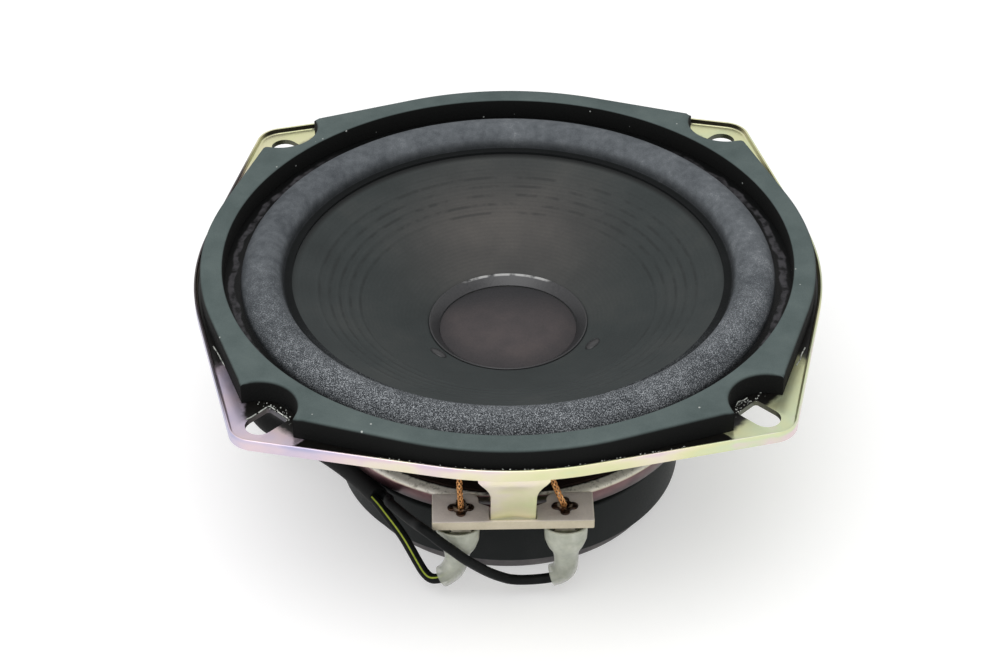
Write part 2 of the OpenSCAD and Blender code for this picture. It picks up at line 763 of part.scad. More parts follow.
// Beads of adhesive where the flexible leads join the coil's wires, moulded to the cone
module lead_dots() {
    from = break_r;
    to = break_r + 3 * dot_r;
    color("black")
        intersection() {
            for (side = [-1, 1])
                translate([side * dot_x, -dot_y, neck_z]) cylinder(r = dot_r, h = break_drop);
            rotate_extrude()
                polygon([[from, cone_z(from) - paper_t - dot_h], [to, cone_z(to) - paper_t - dot_h],
                         [to, cone_z(to) - paper_t], [from, cone_z(from) - paper_t]]);
        }
}

module wire_striped() { color("olive") tube(wire_striped_path, wire_r); }
module wire_plain() { color("black") tube(wire_plain_path, wire_r); }

module lead() {
    color("black") {
        tube(lead_path, lead_r, sides = 12);
        tube(tail_path, lead_r, sides = 12);
    }
}

module lead_coil() { color("black") tube(coil_path, lead_r, sides = 6); }

module coil_tie() {
    inner_w = 2 * lead_r + 2 * tie_gap;
    inner_h = 2 * lead_r + layer_h + 2 * tie_gap;
    color("dimgray")
        translate([tie_x, tie_y, coil_z + layer_h / 2])
            difference() {
                cube([tie_w, inner_w + 2 * tie_t, inner_h + 2 * tie_t], center = true);
                cube([tie_w + 1, inner_w, inner_h], center = true);
            }
}

module connector() {
    front_y = plug_y - plug_l;
    color("whitesmoke")
        difference() {
            union() {
                translate([plug_x - plug_w / 2, front_y, 0]) cube([plug_w, plug_l, plug_h]);
                translate([plug_x - latch_w / 2, front_y + latch_back, plug_h - eps])
                    cube([latch_w, latch_l, latch_h + eps]);
            }
            for (side = [-1, 1])
                translate([plug_x + side * cavity_x - cavity_w / 2, front_y - 1, (plug_h - cavity_h) / 2])
                    cube([cavity_w, cavity_l + 1, cavity_h]);
        }
}

module contacts() {
    front_y = plug_y - plug_l + contact_back;
    color("gold")
        for (side = [-1, 1])
            translate([plug_x + side * cavity_x - contact_w / 2, front_y, (plug_h - contact_t) / 2])
                cube([contact_w, cavity_l - contact_back, contact_t]);
}

basket();
gasket();
surround();
cone();
dust_cap();
cap_ring();
coil_former();
coil_winding();
spider();
top_plate();
magnet();
back_plate();
pole_piece();
seat_rivets();
terminal_board();
eyelet_left();
eyelet_right();
tab_left();
tab_right();
receptacle_left();
receptacle_right();
sleeve_left();
sleeve_right();
tinsel_left();
tinsel_right();
lead_dots();
wire_striped();
wire_plain();
lead();
lead_coil();
coil_tie();
connector();
contacts();
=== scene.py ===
import bpy
import math
import random
from mathutils import Matrix, Vector


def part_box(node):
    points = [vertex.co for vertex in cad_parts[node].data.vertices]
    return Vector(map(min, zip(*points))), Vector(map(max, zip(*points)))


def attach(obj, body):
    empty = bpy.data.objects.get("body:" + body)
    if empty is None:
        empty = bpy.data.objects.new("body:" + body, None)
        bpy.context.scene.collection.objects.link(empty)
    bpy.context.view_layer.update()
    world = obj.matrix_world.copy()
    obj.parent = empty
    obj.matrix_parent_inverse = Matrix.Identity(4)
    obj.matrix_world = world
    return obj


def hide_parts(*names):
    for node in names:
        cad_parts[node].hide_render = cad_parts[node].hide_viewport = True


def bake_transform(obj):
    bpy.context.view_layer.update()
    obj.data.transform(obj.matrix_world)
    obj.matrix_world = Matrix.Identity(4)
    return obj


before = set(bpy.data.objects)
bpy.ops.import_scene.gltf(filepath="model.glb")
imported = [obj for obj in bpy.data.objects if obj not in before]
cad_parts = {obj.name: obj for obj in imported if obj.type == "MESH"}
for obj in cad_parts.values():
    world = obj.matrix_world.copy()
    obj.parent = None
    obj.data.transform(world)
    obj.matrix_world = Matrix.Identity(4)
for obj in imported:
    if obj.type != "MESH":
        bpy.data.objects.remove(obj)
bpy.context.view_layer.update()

mm = 0.001
fullTurn = math.tau
random.seed(7)


def boxOf(node):
    # Low and high corners of a CAD node's box, in millimetres
    return [[value / mm for value in corner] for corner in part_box(node)]


def nodeTop(node):
    return boxOf(node)[1][2]


def nodeBottom(node):
    return boxOf(node)[0][2]


# Levels in millimetres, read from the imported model
level = {
    "magnetFoot": nodeBottom("magnet"),
    "magnetTop": nodeTop("magnet"),
    "seat": nodeTop("top_plate"),
    "landing": nodeTop("terminal_board"),
    "flange": nodeBottom("gasket"),
    "top": nodeTop("gasket"),
}


# Editing helpers

def deselectAll():
    bpy.ops.object.select_all(action="DESELECT")


def only(piece):
    deselectAll()
    piece.select_set(True)
    bpy.context.view_layer.objects.active = piece
    return piece


def edit(piece):
    only(piece)
    bpy.ops.object.mode_set(mode="EDIT")
    bpy.ops.mesh.select_all(action="SELECT")


def done():
    bpy.ops.object.mode_set(mode="OBJECT")


def tidyFaces(piece):
    edit(piece)
    bpy.ops.mesh.remove_doubles(threshold=0.002 * mm)
    bpy.ops.mesh.normals_make_consistent(inside=False)
    done()
    return piece


def pick(piece, test):
    # Leaves the piece in edit mode with only the faces that pass the test selected
    edit(piece)
    bpy.ops.mesh.select_mode(type="FACE")
    bpy.ops.mesh.select_all(action="DESELECT")
    done()
    for face in piece.data.polygons:
        face.select = test(face)
    bpy.ops.object.mode_set(mode="EDIT")


def modify(piece, kind, **settings):
    only(piece)
    modifier = piece.modifiers.new(kind.title(), kind)
    for key, value in settings.items():
        setattr(modifier, key, value)
    bpy.ops.object.modifier_apply(modifier=modifier.name)
    return piece


def bevelled(piece, width, segments=3, angle=40):
    return modify(piece, "BEVEL", width=width * mm, segments=segments, limit_method="ANGLE",
                  angle_limit=math.radians(angle), harden_normals=False, miter_outer="MITER_ARC")


def smooth(piece, angle=35):
    only(piece)
    bpy.ops.object.shade_smooth_by_angle(angle=math.radians(angle))
    return piece


def joined(name, pieces):
    deselectAll()
    for piece in pieces:
        piece.select_set(True)
    bpy.context.view_layer.objects.active = pieces[0]
    if len(pieces) > 1:
        bpy.ops.object.join()
    pieces[0].name = name
    return pieces[0]


def placed(piece):
    only(piece)
    bpy.ops.object.transform_apply(location=True, rotation=True, scale=True)
    return piece


def dress(piece, finish, body="frame", replaced=(), angle=35):
    # Shades the piece, gives it its finish and puts it on its body
    smooth(piece, angle)
    piece.data.materials.clear()
    piece.data.materials.append(finish)
    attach(piece, body)
    if replaced:
        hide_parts(*replaced)
    return piece


def dressStretched(piece, finish, replaced, start, end, angle):
    # Shades a piece that stretches between the frame and the moving cone, and gives it its finish
    smooth(piece, angle)
    piece.data.materials.append(finish)
    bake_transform(piece)
    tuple(start)
    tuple(end)
    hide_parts(replaced)


# Shapes shared by several pieces

def added(name, kind, **settings):
    # A primitive mesh with its name
    deselectAll()
    getattr(bpy.ops.mesh, "primitive_%s_add" % kind)(**settings)
    piece = bpy.context.object
    piece.name = name
    return piece


def rounded(corners, steps=5):
    # A closed outline from corners (across, up, fillet), with each fillet as an arc
    outline = []
    count = len(corners)
    for index, (across, up, fillet) in enumerate(corners):
        here = Vector((across, up))
        before = Vector(corners[index - 1][:2]) - here
        after = Vector(corners[(index + 1) % count][:2]) - here
        if fillet <= 0:
            outline.append((across, up))
            continue
        half = before.angle(after) / 2
        reach = fillet / math.tan(half)
        centre = here + (before.normalized() + after.normalized()).normalized() * fillet / math.sin(half)
        first = here + before.normalized() * reach - centre
        last = here + after.normalized() * reach - centre
        turn = first.angle_signed(last)
        for step in range(steps + 1):
            spun = first.copy()
            spun.rotate(Matrix.Rotation(-turn * step / steps, 2))
            outline.append(tuple(centre + spun))
    return outline


def ringOf(name, outline, steps=180):
    # A circle primitive, shaped into the closed outline (radius, height) and spun round the axis
    piece = added(name, "circle", vertices=len(outline), fill_type="NOTHING")
    for point, (radius, height) in zip(piece.data.vertices, outline):
        point.co = (radius * mm, 0, height * mm)
    edit(piece)
    bpy.ops.mesh.spin(steps=steps, angle=fullTurn, center=(0, 0, 0), axis=(0, 0, 1))
    done()
    return tidyFaces(piece)


def plateOf(name, outline, bottom, height):
    # A filled circle primitive, shaped into the outline (x, y) and extruded upwards
    piece = added(name, "circle", vertices=len(outline), fill_type="NGON")
    for point, (x, y) in zip(piece.data.vertices, outline):
        point.co = (x * mm, y * mm, bottom * mm)
    edit(piece)
    bpy.ops.mesh.extrude_region_move(TRANSFORM_OT_translate={"value": (0, 0, height * mm)})
    bpy.ops.mesh.select_all(action="SELECT")
    bpy.ops.mesh.normals_make_consistent(inside=False)
    done()
    return piece


def blockOf(name, low, high):
    # A cube primitive between two corners in millimetres
    middle = [(a + b) / 2 * mm for a, b in zip(low, high)]
    piece = added(name, "cube", size=1, location=middle)
    piece.scale = [(b - a) * mm for a, b in zip(low, high)]
    return placed(piece)


def gridOf(name, along, across, place):
    # A grid primitive whose points go where place says, from a point's number along the grid
    # and its share across it, which is -1 at one edge and 1 at the other
    piece = added(name, "grid", x_subdivisions=along - 1, y_subdivisions=across, size=2)
    for point in piece.data.vertices:
        index = round((point.co.x + 1) / 2 * (along - 1))
        point.co = place(index, point.co.y)
    return piece


def cut(piece, tool):
    modify(piece, "BOOLEAN", operation="DIFFERENCE", solver="EXACT", object=tool)
    bpy.data.objects.remove(tool, do_unlink=True)
    return piece


def flowing(points, spacing):
    # A smooth route through given points, at even steps of about the spacing
    points = [Vector(point) for point in points]
    dense, fine = [], 12
    for index in range(len(points) - 1):
        before = points[index - 1] if index else points[0] * 2 - points[1]
        start, end = points[index], points[index + 1]
        after = points[index + 2] if index + 2 < len(points) else end * 2 - start
        for step in range(fine):
            t = step / fine
            dense.append(((2 * start) + (end - before) * t
                          + (2 * before - 5 * start + 4 * end - after) * t ** 2
                          + (3 * start - before - 3 * end + after) * t ** 3) / 2)
    dense.append(points[-1])
    lengths = [0]
    for a, b in zip(dense, dense[1:]):
        lengths.append(lengths[-1] + (b - a).length)
    count = max(2, round(lengths[-1] / spacing))
    route, index = [], 0
    for step in range(count + 1):
        target = lengths[-1] * step / count
        while index < len(lengths) - 2 and lengths[index + 1] < target:
            index += 1
        share = (target - lengths[index]) / max(lengths[index + 1] - lengths[index], 1e-9)
        route.append(dense[index].lerp(dense[index + 1], min(share, 1)))
    return route


def routeLength(route):
    return sum((b - a).length for a, b in zip(route, route[1:]))


def frames(route, side):
    # Across and up directions at each point of a route, carried along without twist
    side = Vector(side)
    result = []
    for index, point in enumerate(route):
        ahead = (route[min(index + 1, len(route) - 1)] - route[max(index - 1, 0)]).normalized()
        side = (side - ahead * side.dot(ahead)).normalized()
        result.append((point, side.copy(), ahead.cross(side)))
    return result


def sweep(name, route, sections, side=(0, 0, 1), capped=True):
    # A tube along a route in metres, with one section of (across, up) points for each route point.
    # Its UV map holds the turn around the tube and the distance along it in metres.
    across = len(sections[0])
    points, faces, coordinates = [], [], []
    travelled = [0]
    for a, b in zip(route, route[1:]):
        travelled.append(travelled[-1] + (b - a).length)
    for (point, right, up), section in zip(frames(route, side), sections):
        points += [point + right * x + up * y for x, y in section]
    for ring in range(len(route) - 1):
        for k in range(across):
            n = (k + 1) % across
            here, ahead = ring * across, (ring + 1) * across
            faces.append((here + k, here + n, ahead + n, ahead + k))
            turn, nextTurn = k / across, (k + 1) / across
            near, far = travelled[ring], travelled[ring + 1]
            coordinates += [(turn, near), (nextTurn, near), (nextTurn, far), (turn, far)]
    if capped:
        last = (len(route) - 1) * across
        faces += [tuple(reversed(range(across))), tuple(range(last, last + across))]
        coordinates += [(0, 0)] * across + [(0, travelled[-1])] * across
    mesh = bpy.data.meshes.new(name)
    mesh.from_pydata(points, [], faces)
    layer = mesh.uv_layers.new(name="along")
    for corner, coordinate in zip(layer.data, coordinates):
        corner.uv = coordinate
    piece = bpy.data.objects.new(name, mesh)
    bpy.context.scene.collection.objects.link(piece)
    return piece


def ovalSection(across, up, sides):
    turns = [fullTurn * k / sides for k in range(sides)]
    return [(across * math.cos(turn), up * math.sin(turn)) for turn in turns]


def roundTube(name, route, radius, sides):
    return sweep(name, route, [ovalSection(radius, radius, sides)] * len(route))


# Plan of the flange, as a distance from the axis at an angle

plan = {
    "sideRadius": 68.4,
    "cornerDistance": 73.3,
    "cornerRadius": 6,
    "pocketRadius": 8.3,
    "slotDistance": 71.6,
    "slotWidth": 6,
    "slotLength": 8.2,
    "slotCorner": 0.8,
    "gasketInset": 1.5,
    "gasketEnd": 1,
}


def fromDiagonal(angle):
    # Turns an angle into one measured from the nearest corner, and the corner's direction
    corner = math.floor(angle / (fullTurn / 4)) * fullTurn / 4 + fullTurn / 8
    return angle - corner, corner


def drawnReach(angle, side, end):
    # A round plate drawn out to rounded corners
    off = abs(fromDiagonal(angle)[0])
    distance = plan["cornerDistance"]
    tangent = math.acos((side - end) / distance)
    if off >= tangent:
        return side
    cornerEnds = math.atan2(end * math.sin(tangent), distance + end * math.cos(tangent))
    if off > cornerEnds:
        return side / math.cos(tangent - off)
    return distance * math.cos(off) + math.sqrt(max(end ** 2 - (distance * math.sin(off)) ** 2, 0))


def flangeReach(angle, inset):
    return drawnReach(angle, plan["sideRadius"] - inset, plan["cornerRadius"] - inset)


def gasketReach(angle, inset):
    off = abs(fromDiagonal(angle)[0])
    further = inset - plan["gasketInset"]
    radius = plan["pocketRadius"] + further
    distance = plan["cornerDistance"]
    outer = drawnReach(angle, plan["sideRadius"] - inset, plan["gasketEnd"] - further)
    if distance * math.sin(off) < radius:
        near = distance * math.cos(off) - math.sqrt(radius ** 2 - (distance * math.sin(off)) ** 2)
        outer = min(outer, near)
    return outer


def crowd(piece, share, onto):
    # Turns the columns of a spun ring so that more of them fall near the corners
    half = fullTurn / 8
    for point in piece.data.vertices:
        x, y, z = point.co
        off, corner = fromDiagonal(math.atan2(y, x) % fullTurn)
        size = abs(off)
        if size < share:
            size = size / share * onto
        else:
            size = onto + (size - share) / (half - share) * (half - onto)
        angle = corner + math.copysign(size, off)
        radius = math.hypot(x, y)
        point.co = (radius * math.cos(angle), radius * math.sin(angle), z)


def stretchToPlan(piece, beyond, reach, fade=2):
    # Moves what lies beyond a radius out to the plan, at the same distance in from its edge
    for point in piece.data.vertices:
        x, y, z = point.co
        radius = math.hypot(x, y) / mm
        if radius > beyond:
            angle = math.atan2(y, x) % fullTurn
            share = min((radius - beyond) / fade, 1)
            target = reach(angle, plan["sideRadius"] - radius)
            grown = (radius + (target - radius) * share) * mm
            point.co = (grown * math.cos(angle), grown * math.sin(angle), z)


# Finishes: sockets that add and multiply like numbers, and one class that makes the nodes

class Field:
    def __init__(self, finish, socket):
        self.finish, self.socket = finish, socket

    def __add__(self, other):
        return self.finish.calc("ADD", self, other)

    def __sub__(self, other):
        return self.finish.calc("SUBTRACT", self, other)

    def __rsub__(self, other):
        return self.finish.calc("SUBTRACT", other, self)

    def __mul__(self, other):
        return self.finish.calc("MULTIPLY", self, other)

    def __truediv__(self, other):
        return self.finish.calc("DIVIDE", self, other)

    def __rtruediv__(self, other):
        return self.finish.calc("DIVIDE", other, self)

    def __pow__(self, other):
        return self.finish.calc("POWER", self, other)

    def __abs__(self):
        return self.finish.calc("ABSOLUTE", self, 0)

    __radd__ = __add__
    __rmul__ = __mul__

    def between(self, low, high):
        # 0 below low, 1 above high and a smooth rise from one to the other
        return self.finish.node("MapRange", {"interpolation_type": "SMOOTHSTEP"},
                                {"Value": self, "From Min": low, "From Max": high})


def tone(red, green, blue):
    # A colour written in screen values, as the light values that nodes take
    return tuple(c / 12.92 if c <= 0.04045 else ((c + 0.055) / 1.055) ** 2.4
                 for c in (red / 255, green / 255, blue / 255)) + (1,)


class Finish:
    def __init__(self, name, **shader):
        self.material = bpy.data.materials.new(name)
        self.material.use_nodes = True
        self.tree = self.material.node_tree
        self.shader = self.tree.nodes["Principled BSDF"]
        self.position = Field(self, self.tree.nodes.new("ShaderNodeTexCoord").outputs["Object"])
        self.set(**shader)

    def feed(self, socket, value):
        if isinstance(value, Field):
            self.tree.links.new(value.socket, socket)
        else:
            socket.default_value = value

    def node(self, kind, settings=None, values=None, output=0):
        made = self.tree.nodes.new("ShaderNode" + kind)
        for key, value in (settings or {}).items():
            if key == "stops":
                ramp = made.color_ramp
                while len(ramp.elements) < len(value):
                    ramp.elements.new(0.5)
                for element, (place, colour) in zip(ramp.elements, value):
                    element.position, element.color = place, colour
            else:
                setattr(made, key, value)
        for key, value in (values or {}).items():
            self.feed(made.inputs[key], value)
        return Field(self, made.outputs[output])

    def set(self, **values):
        for key, value in values.items():
            self.feed(self.shader.inputs[key.replace("_", " ")], value)

    def calc(self, operation, first, second):
        return self.node("Math", {"operation": operation}, {0: first, 1: second})

    def mix(self, first, second, share):
        return self.node("Mix", {"data_type": "RGBA"}, {0: share, 6: first, 7: second}, 2)

    def ramp(self, value, *stops):
        # Each stop is a place from 0 to 1 and a colour in screen values
        stops = [(place, tone(*colour)) for place, *colour in stops]
        return self.node("ValToRGB", {"stops": stops}, {"Fac": value})

    def noise(self, size, detail=2, rough=0.5):
        # Soft random field whose lumps are about the size in millimetres
        return self.node("TexNoise", {}, {"Vector": self.position, "Scale": 1 / (size * mm),
                                          "Detail": detail, "Roughness": rough})

    def cells(self, size):
        return self.node("TexVoronoi", {}, {"Vector": self.position, "Scale": 1 / (size * mm)})

    def part(self, index):
        # x, y or z of the position, in millimetres
        return self.node("SeparateXYZ", {}, {0: self.position}, index) / mm

    def radius(self):
        return self.calc("SQRT", self.part(0) ** 2 + self.part(1) ** 2, 0)

    def wave(self, distance, pitch):
        # A sine between -1 and 1 that repeats at each pitch
        return self.calc("SINE", distance * (fullTurn / pitch), 0)

    def done(self, colour, relief, depth, **others):
        # The relief is a field of about 0 to 1, and its depth is in millimetres
        normal = self.node("Bump", {}, {"Strength": 1, "Distance": depth * mm, "Height": relief})
        self.set(Base_Color=colour, Normal=normal, **others)
        return self.material

    def facing(self, index):
        # How far the surface itself faces x, y or z
        normal = self.node("NewGeometry", {}, {}, "Normal")
        return self.node("SeparateXYZ", {}, {0: normal}, index)


print("camera and studio")

shot = {
    "place": (-8.7, -447.6, 380.4),
    "right": (0.99981, -0.01869, -0.00428),
    "up": (0.01476, 0.60762, 0.79409),
    "back": (-0.01224, -0.79401, 0.60778),
    "lens": 91.02,
    "sensor": 36,
    "clipStart": 0.01,
}


def setCamera():
    deselectAll()
    bpy.ops.object.camera_add()
    camera = bpy.context.object
    camera.name = "camera"
    turn = Matrix((shot["right"], shot["up"], shot["back"])).transposed().to_4x4()
    camera.matrix_world = Matrix.Translation(Vector(shot["place"]) * mm) @ turn
    camera.data.lens = shot["lens"]
    camera.data.sensor_width = shot["sensor"]
    camera.data.clip_start = shot["clipStart"]
    bpy.context.scene.camera = camera


studio = {
    "skyStrength": 0.62,
    "keyPower": 9.5,
    "keySize": 1.3,
    "keyPlace": (-0.15, -0.5, 1.3),
    "fillPower": 1.6,
    "fillPlace": (-1.3, -0.6, 0.7),
    "frontPower": 2.8,
    "frontPlace": (-0.15, -1.2, 0.42),
    "floorGlow": 0.38,
    "floorSize": 6,
}


def softBox(name, place, size, power):
    deselectAll()
    bpy.ops.object.light_add(type="AREA", location=place)
    lamp = bpy.context.object
    lamp.name = name
    lamp.data.shape = "DISK"
    lamp.data.size = size
    lamp.data.energy = power
    lamp.rotation_euler = (-Vector(place)).to_track_quat("-Z", "Y").to_euler()


def seenDirectly(tree):
    # 1 for the camera, and for what metal and glass show of the surroundings
    rays = tree.nodes.new("ShaderNodeLightPath")
    total = rays.outputs["Is Camera Ray"]
    for kind in ("Is Glossy Ray", "Is Transmission Ray"):
        both = tree.nodes.new("ShaderNodeMath")
        both.operation = "MAXIMUM"
        tree.links.new(total, both.inputs[0])
        tree.links.new(rays.outputs[kind], both.inputs[1])
        total = both.outputs[0]
    return total


def setStudio():
    scene = bpy.context.scene
    scene.view_settings.view_transform = "Standard"
    world = bpy.data.worlds.new("studio")
    scene.world = world
    world.use_nodes = True
    tree = world.node_tree
    sky = tree.nodes["Background"]
    sky.inputs["Color"].default_value = (1, 1, 1, 1)
    strength = tree.nodes.new("ShaderNodeMix")
    strength.inputs[2].default_value = studio["skyStrength"]
    strength.inputs[3].default_value = 1
    tree.links.new(seenDirectly(tree), strength.inputs[0])
    tree.links.new(strength.outputs[0], sky.inputs["Strength"])

    floor = added("floor", "plane", size=studio["floorSize"])
    paper = Finish("white_paper", Roughness=0.9, Specular_IOR_Level=0, Base_Color=tone(222, 222, 222))
    tree = paper.tree
    lift = tree.nodes.new("ShaderNodeMixShader")
    glow = tree.nodes.new("ShaderNodeEmission")
    add = tree.nodes.new("ShaderNodeAddShader")
    glow.inputs["Strength"].default_value = studio["floorGlow"]
    tree.links.new(paper.shader.outputs[0], add.inputs[0])
    tree.links.new(glow.outputs[0], add.inputs[1])
    tree.links.new(seenDirectly(tree), lift.inputs[0])
    tree.links.new(paper.shader.outputs[0], lift.inputs[1])
    tree.links.new(add.outputs[0], lift.inputs[2])
    tree.links.new(lift.outputs[0], tree.nodes["Material Output"].inputs["Surface"])
    floor.data.materials.append(paper.material)
    softBox("key", studio["keyPlace"], studio["keySize"], studio["keyPower"])
    softBox("fill", studio["fillPlace"], studio["keySize"], studio["fillPower"])
    softBox("front", studio["frontPlace"], studio["keySize"], studio["frontPower"])


setCamera()
setStudio()


print("finishes")


def chromate():
    finish = Finish("yellow_chromate")
    x, y, radius = finish.part(0), finish.part(1), finish.radius()
    overFace, overLanding = finish.part(2) - level["flange"], finish.part(2) - level["landing"]
    facingX, facingY, up = finish.facing(0), finish.facing(1), finish.facing(2).between(0.6, 0.9)

    # The zinc's film drifts from lilac to yellow
    patch = 1 - abs(x - 27).between(2, 12)
    lipSide = overFace.between(-0.2, 1) * (1 - up)
    backLeft = y.between(30, 48) * (1 - x.between(-30, 10))
    film = (finish.noise(22, 3, 0.55) - 0.5) * 0.95 + (finish.noise(6, 2) - 0.5) * 0.35 + 0.54 + x / 220 \
        + facingX * 0.14 - patch * 0.12 - lipSide * 0.14 + backLeft * 0.32
    colour = finish.ramp(film,
                         (0.0, 176, 174, 206), (0.14, 206, 193, 214), (0.28, 224, 202, 210),
                         (0.4, 232, 220, 206), (0.55, 230, 224, 186), (0.72, 220, 222, 170),
                         (0.88, 208, 220, 180), (1.0, 226, 206, 208))
    # Painted shade: from the hem up, the flange and lip are toned a little darker than the arms below
    colour = finish.mix(colour, tone(172, 164, 158), overFace.between(-1.6, -1.1) * 0.16)
    # Painted reflection: the inside of the lip is darkened, most where it faces the front, for the black
    # gasket wall it mirrors
    outwards = (x * facingX + y * facingY) / radius
    lipInsideReflection = (outwards * -1).between(0.3, 0.7) * overFace.between(-0.1, 0.2) \
        * ((facingY * -1).between(0.2, 0.8) * 0.75 + 0.25)
    colour = finish.mix(colour, tone(46, 43, 38), lipInsideReflection)

    # Black glue on the flange's face, in and beside the gasket's pockets; the near-black bands along the
    # gasket's front, back and sides are partly glue and partly painted reflection of the gasket's black wall
    outAlong = (abs(x) + abs(y)) * math.sqrt(0.5)
    sideways = (abs(x) - abs(y)) * math.sqrt(0.5)
    offAxis = abs(sideways)
    face = up * overFace.between(-0.6, -0.2) * (1 - overFace.between(0.3, 0.6))
    smear = finish.noise(1.6, 3, 0.6) * 1.6 - 0.8
    leftSpill = (1 - x.between(-1, 1)) * sideways.between(1, 3) * (1 - sideways.between(3.5, 8)) * 3
    pocketGlue = (1 - (outAlong + smear - leftSpill).between(69.6, 71.4)) * (1 - offAxis.between(8.2, 8.8))
    frontGlueAndReflection = (smear * 0.5 - sideways).between(9.4, 10)
    sideGlueAndReflection = (sideways + smear * 2).between(18, 22)
    glueAndReflection = finish.calc("MAXIMUM", finish.calc("MAXIMUM", pocketGlue, frontGlueAndReflection), sideGlueAndReflection) * face
    colour = finish.mix(colour, tone(13, 12, 10), glueAndReflection)

    # Shadows in the slots' walls and on the ends of the lip
    inSlot = outAlong.between(66, 66.5) * (1 - outAlong.between(76, 76.4)) * (1 - offAxis.between(4.5, 5))
    slotWall = inSlot * (1 - up) * overFace.between(-1.4, -1.2) * (1 - overFace.between(0.1, 0.3))
    colour = finish.mix(colour, tone(36, 40, 38), slotWall * 0.9)
    lipTop = overFace.between(0.6, 0.9) * ((x * -1).between(57, 61) * 0.9 + x.between(60, 64) * 0.2)
    colour = finish.mix(colour, tone(40, 38, 41), lipTop)

    # The spider's landing: a skirt painted dark, and dust on its worn upper side, with painted shadow inside
    # its edge
    rim = radius.between(38, 39) * (1 - radius.between(44.3, 44.6)) * overLanding.between(-6.5, -6)
    # Painted reflection and shade: the reddish skirt is painted dark for the dark surroundings it mirrors,
    # and darker still towards its hem
    skirt = finish.ramp(finish.noise(6, 3) * 1.2 + finish.noise(2.5) * 0.2,
                        (0.2, 50, 34, 38), (0.5, 84, 54, 60), (0.85, 124, 90, 92))
    skirt = finish.mix(tone(34, 28, 30), skirt, overLanding.between(-5.1, -2.1) * 0.8 + 0.2)
    top = overLanding.between(-1.1, -0.3)
    colour = finish.mix(colour, skirt, rim * (1 - top))
    landing = rim * top
    worn = finish.noise(1.1, 4, 0.7)
    dusty = finish.mix(tone(150, 146, 136), tone(226, 222, 212), worn.between(0.3, 0.5))
    colour = finish.mix(colour, dusty, landing * 0.9)
    shadow = landing * (1 - (radius + worn * 0.6).between(41.5, 42))
    return finish.done(finish.mix(colour, tone(13, 12, 11), shadow),
                       worn * 0.5 + finish.noise(0.3, 2) * 0.5, 0.012,
                       Metallic=(0.8 - glueAndReflection * 0.8) * (1 - landing * 0.9), Roughness=worn * 0.22 + 0.22)


def gasketFoam():
    finish = Finish("gasket_foam", Roughness=0.92, Specular_IOR_Level=0.2)
    grain = finish.noise(0.28, 3, 0.6)
    mottled = finish.noise(9, 3, 0.6)
    top = finish.ramp(mottled * 0.7 + grain * 0.3,
                      (0.25, 70, 81, 80), (0.5, 85, 96, 95), (0.75, 97, 108, 106))
    wall = finish.ramp(grain, (0.3, 3, 4, 4), (0.7, 10, 11, 10))
    speck = 1 - finish.cells(4.6).between(0.035, 0.06)
    # The walls take a near-black colour and the top a grey one, by how far each face turns up; the walls'
    # darkness is partly painted shade
    colour = finish.mix(wall, top, finish.facing(2).between(0.25, 0.85))
    return finish.done(finish.mix(colour, tone(200, 204, 200), speck * 0.7),
                       grain + finish.noise(1.2, 2) * 0.5, 0.09)


def surroundFoam():
    finish = Finish("surround_foam", Specular_IOR_Level=0.12)
    x, y, radius = finish.part(0), finish.part(1), finish.radius()
    # Pores are seen at the front, and patches and strokes all round
    speckle = finish.noise(0.14, 2, 0.6) * 0.75 + finish.cells(0.24) * 0.3
    front = 1 - y.between(-58, 12)
    contrast = (speckle - 0.53) * (front * 1.7 + 0.2) + 0.53
    # Painted light: the right side and the back of the roll are lifted a little
    paintedLight = x.between(20, 58) * y.between(-35, 10) * 0.05 + y.between(20, 55) * 0.025
    patches = (finish.noise(8, 2) - 0.5) * 0.16 + (finish.noise(1.7, 2) - 0.5) * 0.16
    colour = finish.ramp(contrast + patches + paintedLight,
                         (0.34, 32, 34, 36), (0.5, 79, 83, 87), (0.6, 102, 106, 110), (0.76, 176, 180, 184))
    # The inner foot, where the roll meets the cone, is painted dark, darker towards the back: partly glue,
    # partly painted shade in the groove
    foot = (1 - radius.between(48.6, 50.1)) * (y.between(-50, -12) * 0.42 + 0.55)
    colour = finish.mix(colour, tone(12, 14, 14), foot)
    # The outer foot lies in black glue, with grey folds at both sides
    glued = radius.between(57.8, 58.5)
    wander = radius + finish.noise(6, 3) * 2.6 - 1.3
    fold = wander.between(59.2, 59.6) * (1 - wander.between(60.5, 61)) * abs(x).between(36, 50)
    black = finish.mix(tone(12, 13, 13), tone(70, 69, 72), fold * finish.noise(2.4, 3).between(0.3, 0.6))
    return finish.done(finish.mix(colour, black, glued), contrast, 0.12, Roughness=0.85 - glued * 0.4)


